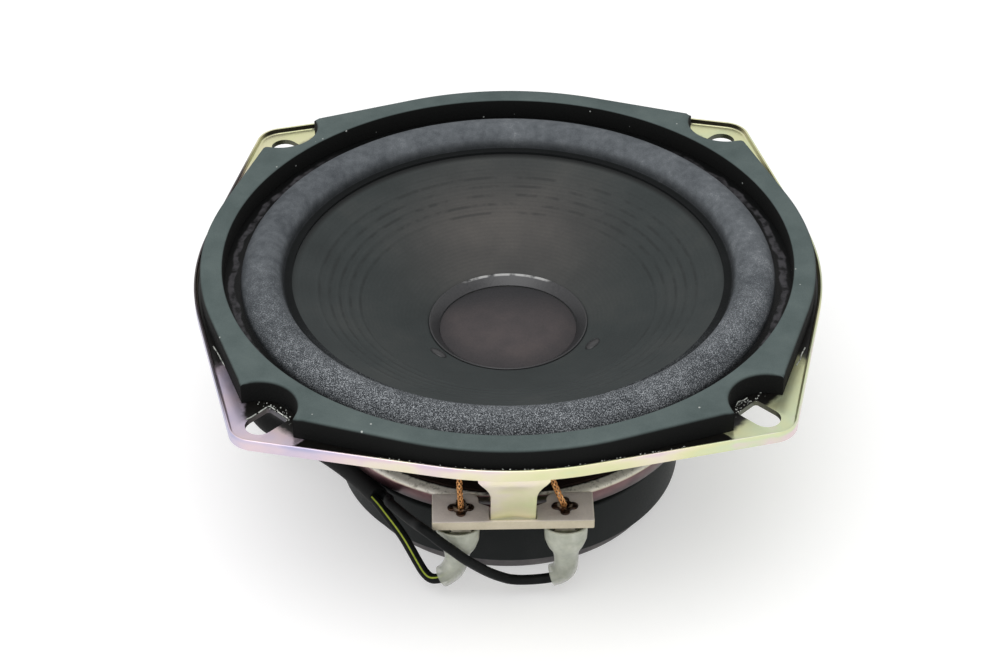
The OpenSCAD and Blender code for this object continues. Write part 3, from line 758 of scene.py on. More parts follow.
def conePaper():
    finish = Finish("cone_paper", Roughness=0.72, Specular_IOR_Level=0.3)
    x, y, radius = finish.part(0), finish.part(1), finish.radius()
    fibre = finish.noise(0.7, 4, 0.65)
    shade = finish.noise(17, 3, 0.55) * 0.75 + fibre * 0.25
    cool = finish.ramp(shade, (0.3, 38, 43, 43), (0.5, 46, 51, 51), (0.7, 56, 59, 58))
    warm = finish.ramp(shade, (0.3, 62, 61, 60), (0.5, 73, 71, 69), (0.7, 84, 81, 78))
    # Painted light: near the neck, the back of the cone, which faces the light, takes a lighter, warmer copy
    # of the paper
    warmLitBack = y.between(-6, 30) * (1 - abs(x).between(8, 34)) * (1 - radius.between(30, 47) * 0.7)
    rings = finish.wave(radius, cone["fineRibs"]) * 0.5 + 0.5
    firstRib, secondRib = cone["ribRadii"][:2]
    pitch = secondRib - firstRib
    # Painted shade: broken dark strokes in the valleys between the ribs
    valley = finish.wave(radius - firstRib + pitch / 2, pitch).between(0.4, 1)
    ribbedPart = radius.between(firstRib - pitch, firstRib) * (1 - radius.between(42, 44))
    valleyShade = valley * ribbedPart * finish.noise(5, 3, 0.6).between(0.42, 0.6)
    paper = finish.mix(finish.mix(cool, warm, warmLitBack), tone(36, 40, 40), rings * 0.1)
    paper = finish.mix(paper, tone(30, 32, 32), valleyShade * 0.5)
    rimShadow = radius.between(45.8, 46.9) * y.between(-12, 30)
    return finish.done(finish.mix(paper, tone(15, 17, 17), rimShadow), fibre * 0.5 + rings * 0.2, 0.05)


def capPaper():
    finish = Finish("cap_paper", Roughness=0.8)
    felt = finish.noise(0.5, 4, 0.7)
    centre = finish.ramp(finish.noise(6, 2) * 0.6 + felt * 0.4,
                         (0.3, 54, 50, 51), (0.5, 64, 58, 59), (0.72, 76, 68, 67))
    edge = finish.ramp(felt, (0.3, 23, 23, 26), (0.7, 38, 37, 40))
    # Painted shade: the dome darkens towards its back and its rim
    paintedShade = finish.calc("MAXIMUM", finish.part(1).between(-4, 14), finish.radius().between(9, 15.4) * 0.6)
    return finish.done(finish.mix(centre, edge, paintedShade), felt, 0.05)


def ringPaper():
    finish = Finish("ring_paper")
    y = finish.part(1)
    fibre = finish.noise(0.6, 4, 0.65)
    paper = finish.ramp(fibre, (0.3, 35, 36, 38), (0.7, 52, 51, 53))
    # Darker towards the front: painted shade on the ring, and on the dabs the dark of their lacquer
    paper = finish.mix(tone(25, 25, 27), paper, y.between(2, 14) * 0.6 + 0.4)
    # Painted highlight: a broken light line along the back of the ring's crest
    crestHighlight = finish.radius().between(16.9, 17.1) * y.between(14, 15) * finish.noise(2.4, 2).between(0.35, 0.55)
    return finish.done(finish.mix(paper, tone(164, 164, 163), crestHighlight),
                       fibre, 0.04, Roughness=fibre * 0.3 + 0.22)


def ferrite():
    finish = Finish("ferrite", Specular_IOR_Level=0.14)
    grain = finish.noise(0.4, 4, 0.65)
    colour = finish.ramp(finish.noise(14, 3) * 0.6 + grain * 0.4,
                         (0.3, 19, 22, 23), (0.55, 27, 30, 30), (0.75, 38, 40, 40))
    return finish.done(colour, grain, 0.03, Roughness=grain * 0.3 + 0.36)


def boardLaminate():
    finish = Finish("board_laminate", Roughness=0.62)
    grain = finish.noise(0.5, 4, 0.65)
    shade = finish.noise(5, 3) * 0.6 + grain * 0.4
    top = finish.ramp(shade, (0.3, 206, 197, 189), (0.5, 222, 212, 204), (0.7, 232, 224, 214))
    edge = finish.ramp(shade, (0.3, 191, 181, 157), (0.7, 208, 198, 176))
    return finish.done(finish.mix(edge, top, finish.facing(2).between(0.5, 0.8)), grain, 0.03)


def darkBronze():
    # A painted highlight in a ring around each eyelet's bore
    finish = Finish("dark_bronze", Metallic=0.7)
    stain = finish.noise(1.1, 4, 0.6)
    across = abs(finish.part(0)) - terminal["eyeletX"]
    along = finish.part(1) - terminal["eyeletY"]
    ring = finish.calc("SQRT", across ** 2 + along ** 2, 0)
    rimHighlight = ring.between(0.9, 1.2) * (1 - ring.between(1.4, 1.8)) * stain.between(0.4, 0.6)
    colour = finish.ramp(stain, (0.35, 34, 25, 19), (0.55, 70, 50, 38), (0.75, 132, 100, 72))
    return finish.done(finish.mix(colour, tone(226, 214, 196), rimHighlight),
                       stain, 0.03, Roughness=stain * 0.3 + 0.14)


milkyDepth = {"Subsurface_Radius": (0.002, 0.002, 0.0015), "Subsurface_Scale": 1}


def milkySleeve():
    # Cloudy at the board and more see-through below, where the wire shows
    finish = Finish("milky_sleeve", Roughness=0.3, Coat_Weight=0.2, Subsurface_Weight=0.25, **milkyDepth)
    cloud = finish.noise(3, 3, 0.6)
    colour = finish.ramp(cloud, (0.3, 170, 174, 160), (0.55, 190, 193, 178), (0.75, 208, 210, 197))
    return finish.done(colour, finish.noise(1.6, 2) + cloud * 0.4, 0.12,
                       Alpha=finish.part(2).between(7.5, 16) * 0.46 + 0.4)


def wireVinyl(name, striped):
    finish = Finish(name, Specular_IOR_Level=0.1)
    scuff = finish.noise(1.5, 4, 0.6)
    colour = finish.ramp(scuff, (0.3, 8, 9, 9), (0.7, 18, 20, 20))
    if striped:
        around = finish.node("SeparateXYZ", {}, {0: finish.node("UVMap", {"uv_map": "along"})}, 0)
        stripe = 1 - abs(around - 0.87).between(0.016, 0.032)
        green = finish.ramp(scuff, (0.3, 132, 148, 44), (0.7, 168, 182, 72))
        colour = finish.mix(colour, green, stripe)
    return finish.done(colour, scuff, 0.02, Roughness=scuff * 0.2 + 0.46)


def jacketVinyl():
    finish = Finish("jacket_vinyl", Specular_IOR_Level=0.1)
    scuff = finish.noise(2.2, 4, 0.6)
    return finish.done(finish.ramp(scuff, (0.3, 9, 9, 9), (0.7, 18, 19, 19)),
                       scuff + finish.noise(0.5, 2) * 0.4, 0.03, Roughness=scuff * 0.25 + 0.46)


def spiderCloth():
    finish = Finish("spider_cloth", Roughness=0.85, Specular_IOR_Level=0.12)
    weave = finish.wave(finish.part(0), 0.55) * finish.wave(finish.part(1), 0.55)
    # Brown cloth painted nearly black, as painted shade for the dim inside of the basket
    colour = finish.ramp(finish.noise(4, 3) + weave * 0.08,
                         (0.3, 20, 13, 10), (0.6, 32, 21, 16), (0.8, 44, 31, 24))
    return finish.done(colour, weave * 0.5 + 0.5, 0.05)


def windingCopper():
    finish = Finish("winding_copper", Metallic=0.8, Roughness=0.3)
    turns = finish.wave(finish.part(2), 0.25) * 0.5 + 0.5
    return finish.done(finish.mix(tone(120, 52, 26), tone(206, 112, 62), turns), turns, 0.05)


def stained(name, noise, stops, depth, relief=None, roughness=None, **shader):
    # A finish coloured by one noise, which also gives the relief where no second noise is named
    finish = Finish(name, **shader)
    stain = finish.noise(*noise)
    if roughness:
        finish.set(Roughness=stain * roughness[0] + roughness[1])
    return finish.done(finish.ramp(stain, *stops), finish.noise(*relief) if relief else stain, depth)


jacketFinish = jacketVinyl()
steelFinish = stained(
    "plated_steel", (8, 4, 0.6), [(0.3, 80, 77, 80), (0.55, 104, 101, 101), (0.75, 126, 123, 118)],
    0.015, relief=(0.35, 3), roughness=(0.25, 0.28), Metallic=0.8)
brassFinish = stained(
    "tinned_brass", (1.5, 3), [(0.3, 158, 154, 142), (0.7, 198, 196, 188)],
    0.01, relief=(0.3, 2), Metallic=0.9, Roughness=0.32)
braidFinish = stained(
    "braid_copper", (0.6, 3, 0.6), [(0.3, 150, 98, 54), (0.55, 208, 150, 92), (0.75, 242, 204, 148)],
    0.02, relief=(0.12, 2), Metallic=0.75, Roughness=0.4)
glueFinish = stained(
    "black_glue", (1.3, 3, 0.6), [(0.4, 10, 11, 11), (0.75, 34, 34, 32)], 0.2, roughness=(0.4, 0.1))
crumbAndHighlightFinish = stained(
    "stray_glue_and_highlights", (0.8, 2), [(0.35, 92, 94, 90), (0.5, 170, 174, 168), (0.7, 218, 220, 214)],
    0.05, Roughness=0.5)
kraftFinish = stained(
    "kraft_paper", (0.6, 4, 0.6), [(0.3, 120, 84, 52), (0.7, 156, 118, 80)], 0.03, Roughness=0.8)
nylonFinish = stained(
    "natural_nylon", (4, 2), [(0.3, 220, 216, 200), (0.7, 234, 231, 218)],
    0.02, relief=(0.8, 2), Roughness=0.4, Subsurface_Weight=0.15, **milkyDepth)


print("wires and lead")

wirePlain = {
    "diameter": 2.2,
    "points": [
        (11.4, -46.8, 12), (11.4, -46.7, 10.4), (10.9, -46.6, 8.8), (9.6, -46.5, 7.5), (8.2, -46.5, 6.9),
        (5.8, -46.5, 6.5), (2.7, -46.6, 6.4), (0.3, -46.9, 6.8), (-1.8, -47.4, 7.8), (-5.4, -49, 11.1),
        (-9.5, -51.4, 16.4), (-11.1, -52, 18.4), (-13, -52.3, 20.6), (-14.6, -52.2, 22),
        (-16.1, -52, 23.4), (-17.5, -51.7, 24.7), (-19.4, -50, 25), (-21, -46.9, 23.7),
        (-22.9, -43.8, 22.9), (-24.5, -41, 22.2), (-26.4, -37.9, 21.6), (-26.5, -35.9, 20.6),
        (-26.6, -34.5, 19.6), (-27.1, -33.5, 19.1), (-27.9, -32.3, 18.9)],
}

wireStriped = {
    "diameter": 2.2,
    "points": [
        (-11.9, -46.8, 12), (-12.3, -46.7, 10.5), (-13.4, -46.6, 8.9), (-15.2, -46.5, 7.4),
        (-17.5, -45.9, 6.6), (-19.1, -44.6, 7.2), (-20.5, -43.4, 9.2), (-21.9, -42.2, 11.6),
        (-23.3, -40.9, 13.8), (-24.9, -39.6, 15.9), (-26.8, -38, 17.9), (-28.4, -36, 18.9),
        (-29.9, -33.5, 18.9)],
}

jacket = {
    "diameter": 4.5,
    "points": [
        (-28.9, -32.9, 18.9), (-31.7, -28.6, 18.8), (-34.2, -25, 18.6), (-37.2, -21.1, 18.3),
        (-41.5, -16.2, 17.8), (-46.5, -11.4, 17.1), (-51, -7, 16.4), (-54.6, -3, 15.6),
        (-57.2, 2.2, 14.7), (-58.6, 9, 13.2), (-58.2, 17, 11.2), (-56, 26, 8.9), (-52, 35.5, 6.6),
        (-46.2, 45, 4.7), (-39.4, 53.6, 3.5), (-33.4, 60.6, 3), (-28.9, 66.8, 3), (-27.2, 71.2, 3),
        (-27, 74, 3)],
    "coilCentre": (0, 78),
    "coilRadius": 27,
    "coilPitch": 6,
    "coilTurns": 2.5,
    "coilSteps": 24,
    "coilHeight": 3,
    "layerHeight": 5.1,
    "tail": [
        (27, 72, 8.1), (27, 70, 8), (27, 65.5, 6.9), (27.3, 61, 5.2), (27.7, 57, 4.2), (28, 54, 4),
        (28, 52, 4)],
}


def coilPoint(t):
    # The coil winds in along one layer, climbs, and winds out along the next
    start, pitch = jacket["coilRadius"], jacket["coilPitch"]
    if t < 1:
        radius, climb = start - pitch * t, 0
    elif t < 1.5:
        radius, climb = start - pitch, (t - 1) * 2
    else:
        radius, climb = start - pitch + pitch * (t - 1.5), 1
    x, y = jacket["coilCentre"]
    return (x - radius * math.cos(fullTurn * t), y + radius * math.sin(fullTurn * t),
            jacket["coilHeight"] + jacket["layerHeight"] * climb)


def inMetres(points):
    return [Vector(point) * mm for point in points]


def makeWire(name, values, striped, node):
    route = flowing(inMetres(values["points"]), 0.5 * mm)
    piece = roundTube(name, route, values["diameter"] / 2 * mm, 20)
    finish = wireVinyl("wire_pvc_striped" if striped else "wire_pvc_plain", striped)
    dress(piece, finish, replaced=[node])
    routeLength(route)


def makeLead():
    steps = jacket["coilSteps"]
    turns = [coilPoint(i / steps) for i in range(int(jacket["coilTurns"] * steps) + 1)]
    route = flowing(inMetres(jacket["points"] + turns + jacket["tail"]), 1 * mm)
    piece = roundTube("lead_jacket", route, jacket["diameter"] / 2 * mm, 20)
    dress(piece, jacketFinish, replaced=["lead", "lead_coil"])
    return piece, route


makeWire("wire_plain_insulation", wirePlain, False, "wire_plain")
makeWire("wire_striped_insulation", wireStriped, True, "wire_striped")
leadPiece, leadRoute = makeLead()


tie = {"wall": 0.5, "edge": 0.18}


def makeTie():
    # A block of the tie's own size, opened along x into a flat band
    band = blockOf("coil_band", *boxOf("coil_tie"))
    pick(band, lambda face: abs(face.normal.x) > 0.9)
    bpy.ops.mesh.inset(thickness=tie["wall"] * mm, depth=0)
    bpy.ops.mesh.bridge_edge_loops()
    done()
    bevelled(band, tie["edge"], 2, 30)
    return dress(band, jacketFinish, replaced=["coil_tie"])


plug = {
    "edge": 0.3,
    "cavityAt": 2.6, "cavityHalfWidth": 1.7, "cavityHalfHeight": 1.5, "cavityDepth": 9,
    "grooves": [3.5, 6, 8.5], "grooveWidth": 1.1, "grooveDepth": 0.35,
    "latchRise": 1, "latchSunk": 0.2, "latchHalfWidth": 2, "latchFront": 3, "latchBack": 11, "latchRim": 0.6,
}


def makeConnector():
    # A block with two cavities in its front, three grooves in each side and a latch on top
    low, high = boxOf("connector")
    top = high[2] - plug["latchRise"]
    middle = (low[0] + high[0]) / 2
    body = blockOf("connector_housing", low, (high[0], high[1], top))
    half, rise, back = plug["cavityHalfWidth"], plug["cavityHalfHeight"], low[1] + plug["cavityDepth"]
    for x in (middle - plug["cavityAt"], middle + plug["cavityAt"]):
        cut(body, blockOf("cavity", (x - half, low[1] - 1, top / 2 - rise), (x + half, back, top / 2 + rise)))
    depth, width = plug["grooveDepth"], plug["grooveWidth"]
    for front in [high[1] - groove for groove in plug["grooves"]]:
        for left, right in ((low[0] - 1, low[0] + depth), (high[0] - depth, high[0] + 1)):
            cut(body, blockOf("groove", (left, front, -1), (right, front + width, top + 1)))
    bevelled(body, plug["edge"], 2, 40)
    half = plug["latchHalfWidth"]
    latch = blockOf("latch", (middle - half, low[1] + plug["latchFront"], top - plug["latchSunk"]),
                    (middle + half, low[1] + plug["latchBack"], high[2]))
    pick(latch, lambda face: face.normal.z > 0.9)
    bpy.ops.mesh.inset(thickness=plug["latchRim"] * mm, depth=0)
    done()
    bevelled(latch, plug["edge"], 2, 40)
    return dress(joined("connector_housing", [body, latch]), nylonFinish,
                 replaced=["connector"])


coilBand = makeTie()
housing = makeConnector()
routeLength(leadRoute)


print("basket")

basket = {
    "sheet": 1.2,
    "lipHeight": 1.2,
    "lipSheet": 0.5,
    "hemDepth": 0.4,
    "hemWidth": 1.2,
    "hemRamp": 0.5,
    "collarRadius": 59.8,
    "collarFoot": 47,
    "seatBore": 15.5,
    "landingInner": 34.8,
    "landingOuter": 44.1,
    "skirtDepth": 5.1,
    "skirtLean": 1.7,
    "armCount": 4,
    "armWidth": 9.5,
    "armTopWidth": 14.8,
    "armCurve": 14.8,
    "armWaist": 38.2,
    "armStart": 35,
    "armFoot": 46.6,
    "armBend": 45,
    "armEnd": 50.2,
    "armEdge": 0.4,
    "armColumns": 14,
    "ribDepth": 0.35,
    "ribShare": 0.62,
    "ribFoot": 24,
    "ribTop": 45,
    "steps": 480,
}

chromateFinish = chromate()


def slotPlan():
    # Each arc has a centre, a radius, and its start and span in half turns
    length, radius, fillet = plan["slotLength"], plan["slotWidth"] / 2, plan["slotCorner"]
    arcs = [(length / 2 - radius, 0, radius, -0.5, 1),
            (fillet - length / 2, radius - fillet, fillet, 0.5, 0.5),
            (fillet - length / 2, fillet - radius, fillet, 1, 0.5)]
    outline = []
    for x, y, reach, start, span in arcs:
        for step in range(13):
            turn = math.pi * (start + span * step / 12)
            along = plan["slotDistance"] + x + reach * math.cos(turn)
            outline.append(Vector((along, y + reach * math.sin(turn))))
    return outline


def makeFlange():
    sheet, lip, wall = basket["sheet"], basket["lipHeight"], basket["lipSheet"]
    side, face = plan["sideRadius"], level["flange"]
    collar, foot = basket["collarRadius"], basket["collarFoot"]
    back = face - sheet
    hem, hemInner = back - basket["hemDepth"], side - basket["hemWidth"]
    outline = rounded([
        (collar, foot, 0.35), (collar, face, 1.1), (side - wall, face, 0.5), (side - wall, face + lip, 0.2),
        (side, face + lip, 0.2), (side, hem, 0.35), (hemInner, hem, 0.3),
        (hemInner - basket["hemRamp"], back, 0.3), (collar + sheet, back, 0.5),
        (collar + sheet, foot, 0.35)])
    ring = ringOf("flange", outline, basket["steps"])
    crowd(ring, share=math.radians(12), onto=math.radians(2.6))
    stretchToPlan(ring, collar + sheet + 2, flangeReach)
    for quarter in range(4):
        corner = Matrix.Rotation(fullTurn * (quarter + 0.5) / 4, 2)
        cut(ring, plateOf("slot", [corner @ point for point in slotPlan()], face - 5, 8))
    return ring


def makePan():
    sheet, seat, landing = basket["sheet"], level["seat"], level["landing"]
    inner, outer = basket["landingInner"], basket["landingOuter"]
    lean, hem = basket["skirtLean"], level["landing"] - basket["skirtDepth"]
    outline = rounded([
        (basket["seatBore"], seat, 0.3), (inner + sheet, seat, 1.2), (inner + sheet, landing - sheet, 0.4),
        (outer - sheet, landing - sheet, 0.4), (outer - lean - sheet, hem, 0.3), (outer - lean, hem, 0.3),
        (outer, landing, 1.0), (inner, landing, 1.0), (inner, seat + sheet, 0.4),
        (basket["seatBore"], seat + sheet, 0.3)])
    pan = ringOf("pan", outline, 240)
    (left, front, bottom), (right, back, top) = boxOf("terminal_board")
    gap = 0.1
    notch = blockOf("notch", (left - gap, front - outer, bottom), (right + gap, back + gap, top + outer))
    return cut(pan, notch)


def armHalfWidth(height):
    # Half the arm's width seen from outside: straight at the waist, then widening in a curve
    curve = basket["armCurve"]
    rise = max(height - basket["armWaist"], 0)
    widened = curve - math.sqrt(max(curve ** 2 - rise ** 2, 0))
    return min(basket["armWidth"] / 2 + widened, basket["armTopWidth"] / 2)


def armLine():
    # Outer face of an arm, from inside the seat out, up and against the collar
    seat, foot, bend = level["seat"], basket["armFoot"], basket["armBend"]
    collar = basket["collarRadius"] + basket["sheet"]
    against = collar - 0.05
    corners = [(basket["armStart"], seat, 0), (foot - 0.6, seat, 1.2), (foot, seat + basket["sheet"], 1),
               (collar - 0.5, bend, 0.5), (against, bend + 1, 0.5), (against, basket["armEnd"], 0)]
    points = []
    for index in range(1, len(corners) - 1):
        here = Vector(corners[index][:2])
        before = Vector(corners[index - 1][:2]) - here
        after = Vector(corners[index + 1][:2]) - here
        reach = min(corners[index][2], before.length * 0.45, after.length * 0.45)
        for step in range(6):
            t = step / 5
            start, end = here + before.normalized() * reach, here + after.normalized() * reach
            points.append(start.lerp(here, t).lerp(here.lerp(end, t), t))
    points = [Vector(corners[0][:2])] + points + [Vector(corners[-1][:2])]
    line = []
    for a, b in zip(points, points[1:]):
        count = max(1, round((b - a).length))
        line += [a.lerp(b, step / count) for step in range(count)]
    return line + [points[-1]]


def makeArm(quarter):
    # A grid laid along the arm's line, given its width, a pressed rib and a thickness
    line = armLine()

    def place(index, share):
        radius, height = line[index]
        along = line[min(index + 1, len(line) - 1)] - line[max(index - 1, 0)]
        outwards = Vector((along.y, -along.x)).normalized()
        hollow = max(0, math.cos(min(abs(share) / basket["ribShare"], 1) * math.pi / 2))
        foot = min(max((height - basket["ribFoot"]) / 4, 0), 1)
        top = min(max((basket["ribTop"] - height) / 3, 0), 1)
        radius, height = Vector((radius, height)) - outwards * (basket["ribDepth"] * hollow * foot * top)
        return radius * mm, share * armHalfWidth(height) * mm, height * mm

    arm = gridOf("arm", len(line), basket["armColumns"], place)
    modify(arm, "SOLIDIFY", thickness=basket["sheet"] * mm, offset=1)
    tidyFaces(arm)
    bevelled(arm, basket["armEdge"], 3, 50)
    arm.rotation_euler = (0, 0, fullTurn / basket["armCount"] * quarter)
    return placed(arm)


def makeBasket():
    arms = [makeArm(quarter) for quarter in range(basket["armCount"])]
    whole = joined("basket_pressing", [makeFlange(), makePan()] + arms)
    return dress(whole, chromateFinish, replaced=["basket"], angle=32)


makeBasket()


print("gasket and surround")

gasket = {
    "innerRadius": 62, "footGap": 0.5, "footRadius": 65.5, "edge": 0.45, "outerEdge": 1.1, "steps": 480,
}


def makeGasket():
    inner, edge = gasket["innerRadius"], gasket["edge"]
    outer = plan["sideRadius"] - plan["gasketInset"]
    bottom, top = level["flange"], level["top"]
    outline = rounded([
        (inner, bottom + gasket["footGap"], 0.15), (inner, top, edge), (outer, top, gasket["outerEdge"]),
        (outer, bottom, 0.15), (gasket["footRadius"], bottom, 0),
        (gasket["footRadius"], bottom + gasket["footGap"], 0)])
    ring = ringOf("gasket_ring", outline, gasket["steps"])
    crowd(ring, share=math.radians(10), onto=math.radians(6.5))
    stretchToPlan(ring, inner + 1, gasketReach)
    return dress(ring, gasketFoam(), replaced=["gasket"], angle=40)


makeGasket()

foam = {"thickness": 0.5, "crestRadius": 53.7, "rollRadius": 4.4, "outer": 65.4, "inner": 47.2, "steps": 300}


def rollArc(radius, start, end, steps):
    base = level["flange"]
    return [(foam["crestRadius"] + radius * math.cos(start + (end - start) * k / steps),
             base + radius * math.sin(start + (end - start) * k / steps)) for k in range(steps + 1)]


def makeSurround():
    # Two rings that meet at the crest, one on each side
    base, thick = level["flange"], foam["thickness"]
    over, under = foam["rollRadius"] + thick / 2, foam["rollRadius"] - thick / 2
    finish = surroundFoam()
    outer = rollArc(over, math.pi / 2, math.asin(thick / over), 20) \
        + [(foam["outer"], base + thick), (foam["outer"], base)] + rollArc(under, 0, math.pi / 2, 20)
    inner = rollArc(over, math.pi / 2, math.pi - math.asin(thick / over), 20) \
        + [(foam["inner"], base + thick), (foam["inner"], base)] + rollArc(under, math.pi, math.pi / 2, 20)
    foot = (0, 0, base * mm)
    above = (0, 0, (base + 2 * foam["rollRadius"]) * mm)
    for name, outline, start, end in (("surround_outer", outer, foot, above),
                                      ("surround_inner", inner, above, foot)):
        ring = ringOf(name, outline, foam["steps"])
        dressStretched(ring, finish, "surround", start, end, 50)


makeSurround()


print("cone, cap and coil")

cone = {
    "rimOuter": 49.3, "rimInner": 47.2, "rimGap": 0.1, "breakRadius": 18, "breakDrop": 13,
    "neckRadius": 12.95, "neckDrop": 3.8, "paper": 0.6, "spacing": 0.25,
    "ribRadii": [33, 35.2, 37.4, 39.6, 41.8], "ribHeight": 0.2, "ribWidth": 0.4, "fineRibs": 0.9,
}


def coneHeight(radius):
    rim = level["flange"] - cone["rimGap"]
    bend = cone["breakRadius"]
    low = rim - cone["breakDrop"]
    if radius > cone["rimInner"]:
        return rim
    if radius > bend:
        return low + cone["breakDrop"] * (radius - bend) / (cone["rimInner"] - bend)
    return low - cone["neckDrop"] * (bend - radius) / (bend - cone["neckRadius"])


def ribbed(radius):
    steps = [(radius - rib) / cone["ribWidth"] for rib in cone["ribRadii"]]
    return coneHeight(radius) + sum(cone["ribHeight"] * math.exp(-step ** 2) for step in steps)


def makeCone():
    radii = [cone["neckRadius"] + cone["spacing"] * k for k in range(200)]
    radii = [r for r in radii if r < cone["rimOuter"]] + [cone["rimOuter"]]
    front = [(r, ribbed(r)) for r in radii]
    back = [(r, ribbed(r) - cone["paper"]) for r in reversed(radii)]
    ring = ringOf("cone_body", front + back, 240)
    return dress(ring, conePaper(), "cone_assembly", ["cone"], 60)


lacquered = ringPaper()

dabs = {"at": [(-15.4, -12.8), (18.2, -11.2)], "length": 2.2, "width": 1.4, "height": 0.5, "lift": 0.1}


def makeDabs():
    # Two flat lumps of lacquered paper where the coil's wires come through the cone
    slope = math.atan(cone["breakDrop"] / (cone["rimInner"] - cone["breakRadius"]))
    lumps = []
    for x, y in dabs["at"]:
        lump = added("dab", "uv_sphere", segments=24, ring_count=12, radius=mm)
        lump.scale = (dabs["length"], dabs["width"], dabs["height"])
        lump.rotation_euler = (-slope, 0, math.atan2(y, x) + fullTurn / 4)
        lump.location = (x * mm, y * mm, (coneHeight(math.hypot(x, y)) + dabs["lift"]) * mm)
        lumps.append(placed(lump))
    return dress(joined("coil_wire_dabs", lumps), lacquered, "cone_assembly")


makeCone()
makeDabs()

cap = {"radius": 15.2, "rise": 2.2, "lift": 0.1, "thickness": 0.4, "ringWidth": 2.35, "ringHeight": 0.7}


def makeCap():
    radius, rise, thick = cap["radius"], cap["rise"], cap["thickness"]
    edge = coneHeight(radius) + cap["lift"]
    ball = (radius ** 2 + rise ** 2) / (2 * rise)
    middle = edge + rise - ball
    across = [radius * k / 24 for k in range(25)]
    top = [(r, middle + math.sqrt(ball ** 2 - r ** 2)) for r in across]
    under = [(r, h - thick) for r, h in reversed(top)]
    under[0] = (radius - 0.1, edge - 0.02)
    dome = ringOf("dust_cap_dome", top + under, 180)
    return dress(dome, capPaper(), "cone_assembly", ["dust_cap"], 60)


def makeCapRing():
    # A band lying on the slope of the neck, a little thicker at its outer edge
    inner = cap["radius"] + 0.1
    outer = inner + cap["ringWidth"]
    outline = rounded([
        (inner, coneHeight(inner), 0.05), (outer, coneHeight(outer), 0.05),
        (outer, coneHeight(outer) + cap["ringHeight"] - 0.02, 0.25),
        (inner, coneHeight(inner) + cap["ringHeight"] / 2, 0.15)])
    ring = ringOf("cap_ring_pressing", outline, 180)
    return dress(ring, lacquered, "cone_assembly", ["cap_ring"], 60)


makeCap()
makeCapRing()


print("terminals")

terminal = {
    "notchWidth": 4.95, "notchFront": 49.48,
    "shoulderWidth": 7.2, "shoulderFront": 44, "shoulderStep": 1.2, "shoulderCurve": 2,
    "eyeletX": 11, "eyeletY": -45.8, "boreRadius": 0.9, "barrelRadius": 1.5, "barrelGap": 0.05,
    "lobeDistance": 1.8, "lobeRadius": 1.05,
}

bronzeFinish = darkBronze()


def makeBoard():
    low, high = boxOf("terminal_board")
    back, front = high[1], low[1]
    shoulder, curve = terminal["shoulderWidth"], terminal["shoulderCurve"]
    half = [(high[0], front), (high[0], back)]
    for step in range(9):
        turn = math.pi / 2 * step / 8
        half.append((shoulder + curve - curve * math.sin(turn), back - curve + curve * math.cos(turn)))
    ledge, notch = -terminal["shoulderFront"], terminal["notchWidth"]
    half += [(shoulder, ledge), (notch, ledge - terminal["shoulderStep"]), (notch, -terminal["notchFront"])]
    outline = half + [(-x, y) for x, y in reversed(half)]
    board = plateOf("board_plate", outline, low[2], high[2] - low[2])
    bore = (terminal["barrelRadius"] + terminal["barrelGap"]) * mm
    for side in (-1, 1):
        middle = (side * terminal["eyeletX"] * mm, terminal["eyeletY"] * mm, low[2] * mm)
        drill = added("bore", "cylinder", vertices=32, radius=bore, depth=10 * mm, location=middle)
        cut(board, placed(drill))
    bevelled(board, 0.3, 3, 40)
    return dress(board, boardLaminate(), replaced=["terminal_board"])


def makeEyelet(side):
    # A spun barrel whose upper flange is drawn out into four petals
    node = "eyelet_left" if side < 0 else "eyelet_right"
    bottom, top = nodeBottom(node), nodeTop(node)
    board = level["landing"]
    bore, barrel = terminal["boreRadius"], terminal["barrelRadius"]
    lobeAt, lobe = terminal["lobeDistance"], terminal["lobeRadius"]
    outline = rounded([
        (bore, bottom, 0.1), (bore, top - 0.05, 0.2), (lobeAt, top, 0.28), (lobeAt, board, 0.1),
        (barrel, board, 0), (barrel, bottom + 0.6, 0),
        (barrel + 0.4, bottom + 0.5, 0.1), (barrel + 0.4, bottom, 0.2)], 4)
    eyelet = ringOf("eyelet", outline, 96)
    for point in eyelet.data.vertices:
        x, y, z = point.co
        radius, angle = math.hypot(x, y) / mm, math.atan2(y, x)
        if radius > barrel and z > (board - 0.2) * mm:
            off = (angle + fullTurn / 8) % (fullTurn / 4) - fullTurn / 8
            across = lobe ** 2 - (lobeAt * math.sin(off)) ** 2
            reach = max(lobeAt, lobeAt * math.cos(off) + math.sqrt(across)) if across > 0 else lobeAt
            grown = barrel + (radius - barrel) / (lobeAt - barrel) * (reach - barrel)
            point.co = (grown * mm * math.cos(angle), grown * mm * math.sin(angle), z)
    edit(eyelet)
    bpy.ops.transform.translate(value=(side * terminal["eyeletX"] * mm, terminal["eyeletY"] * mm, 0))
    done()
    return dress(eyelet, bronzeFinish, replaced=[node], angle=45)


makeBoard()
for side in (-1, 1):
    makeEyelet(side)


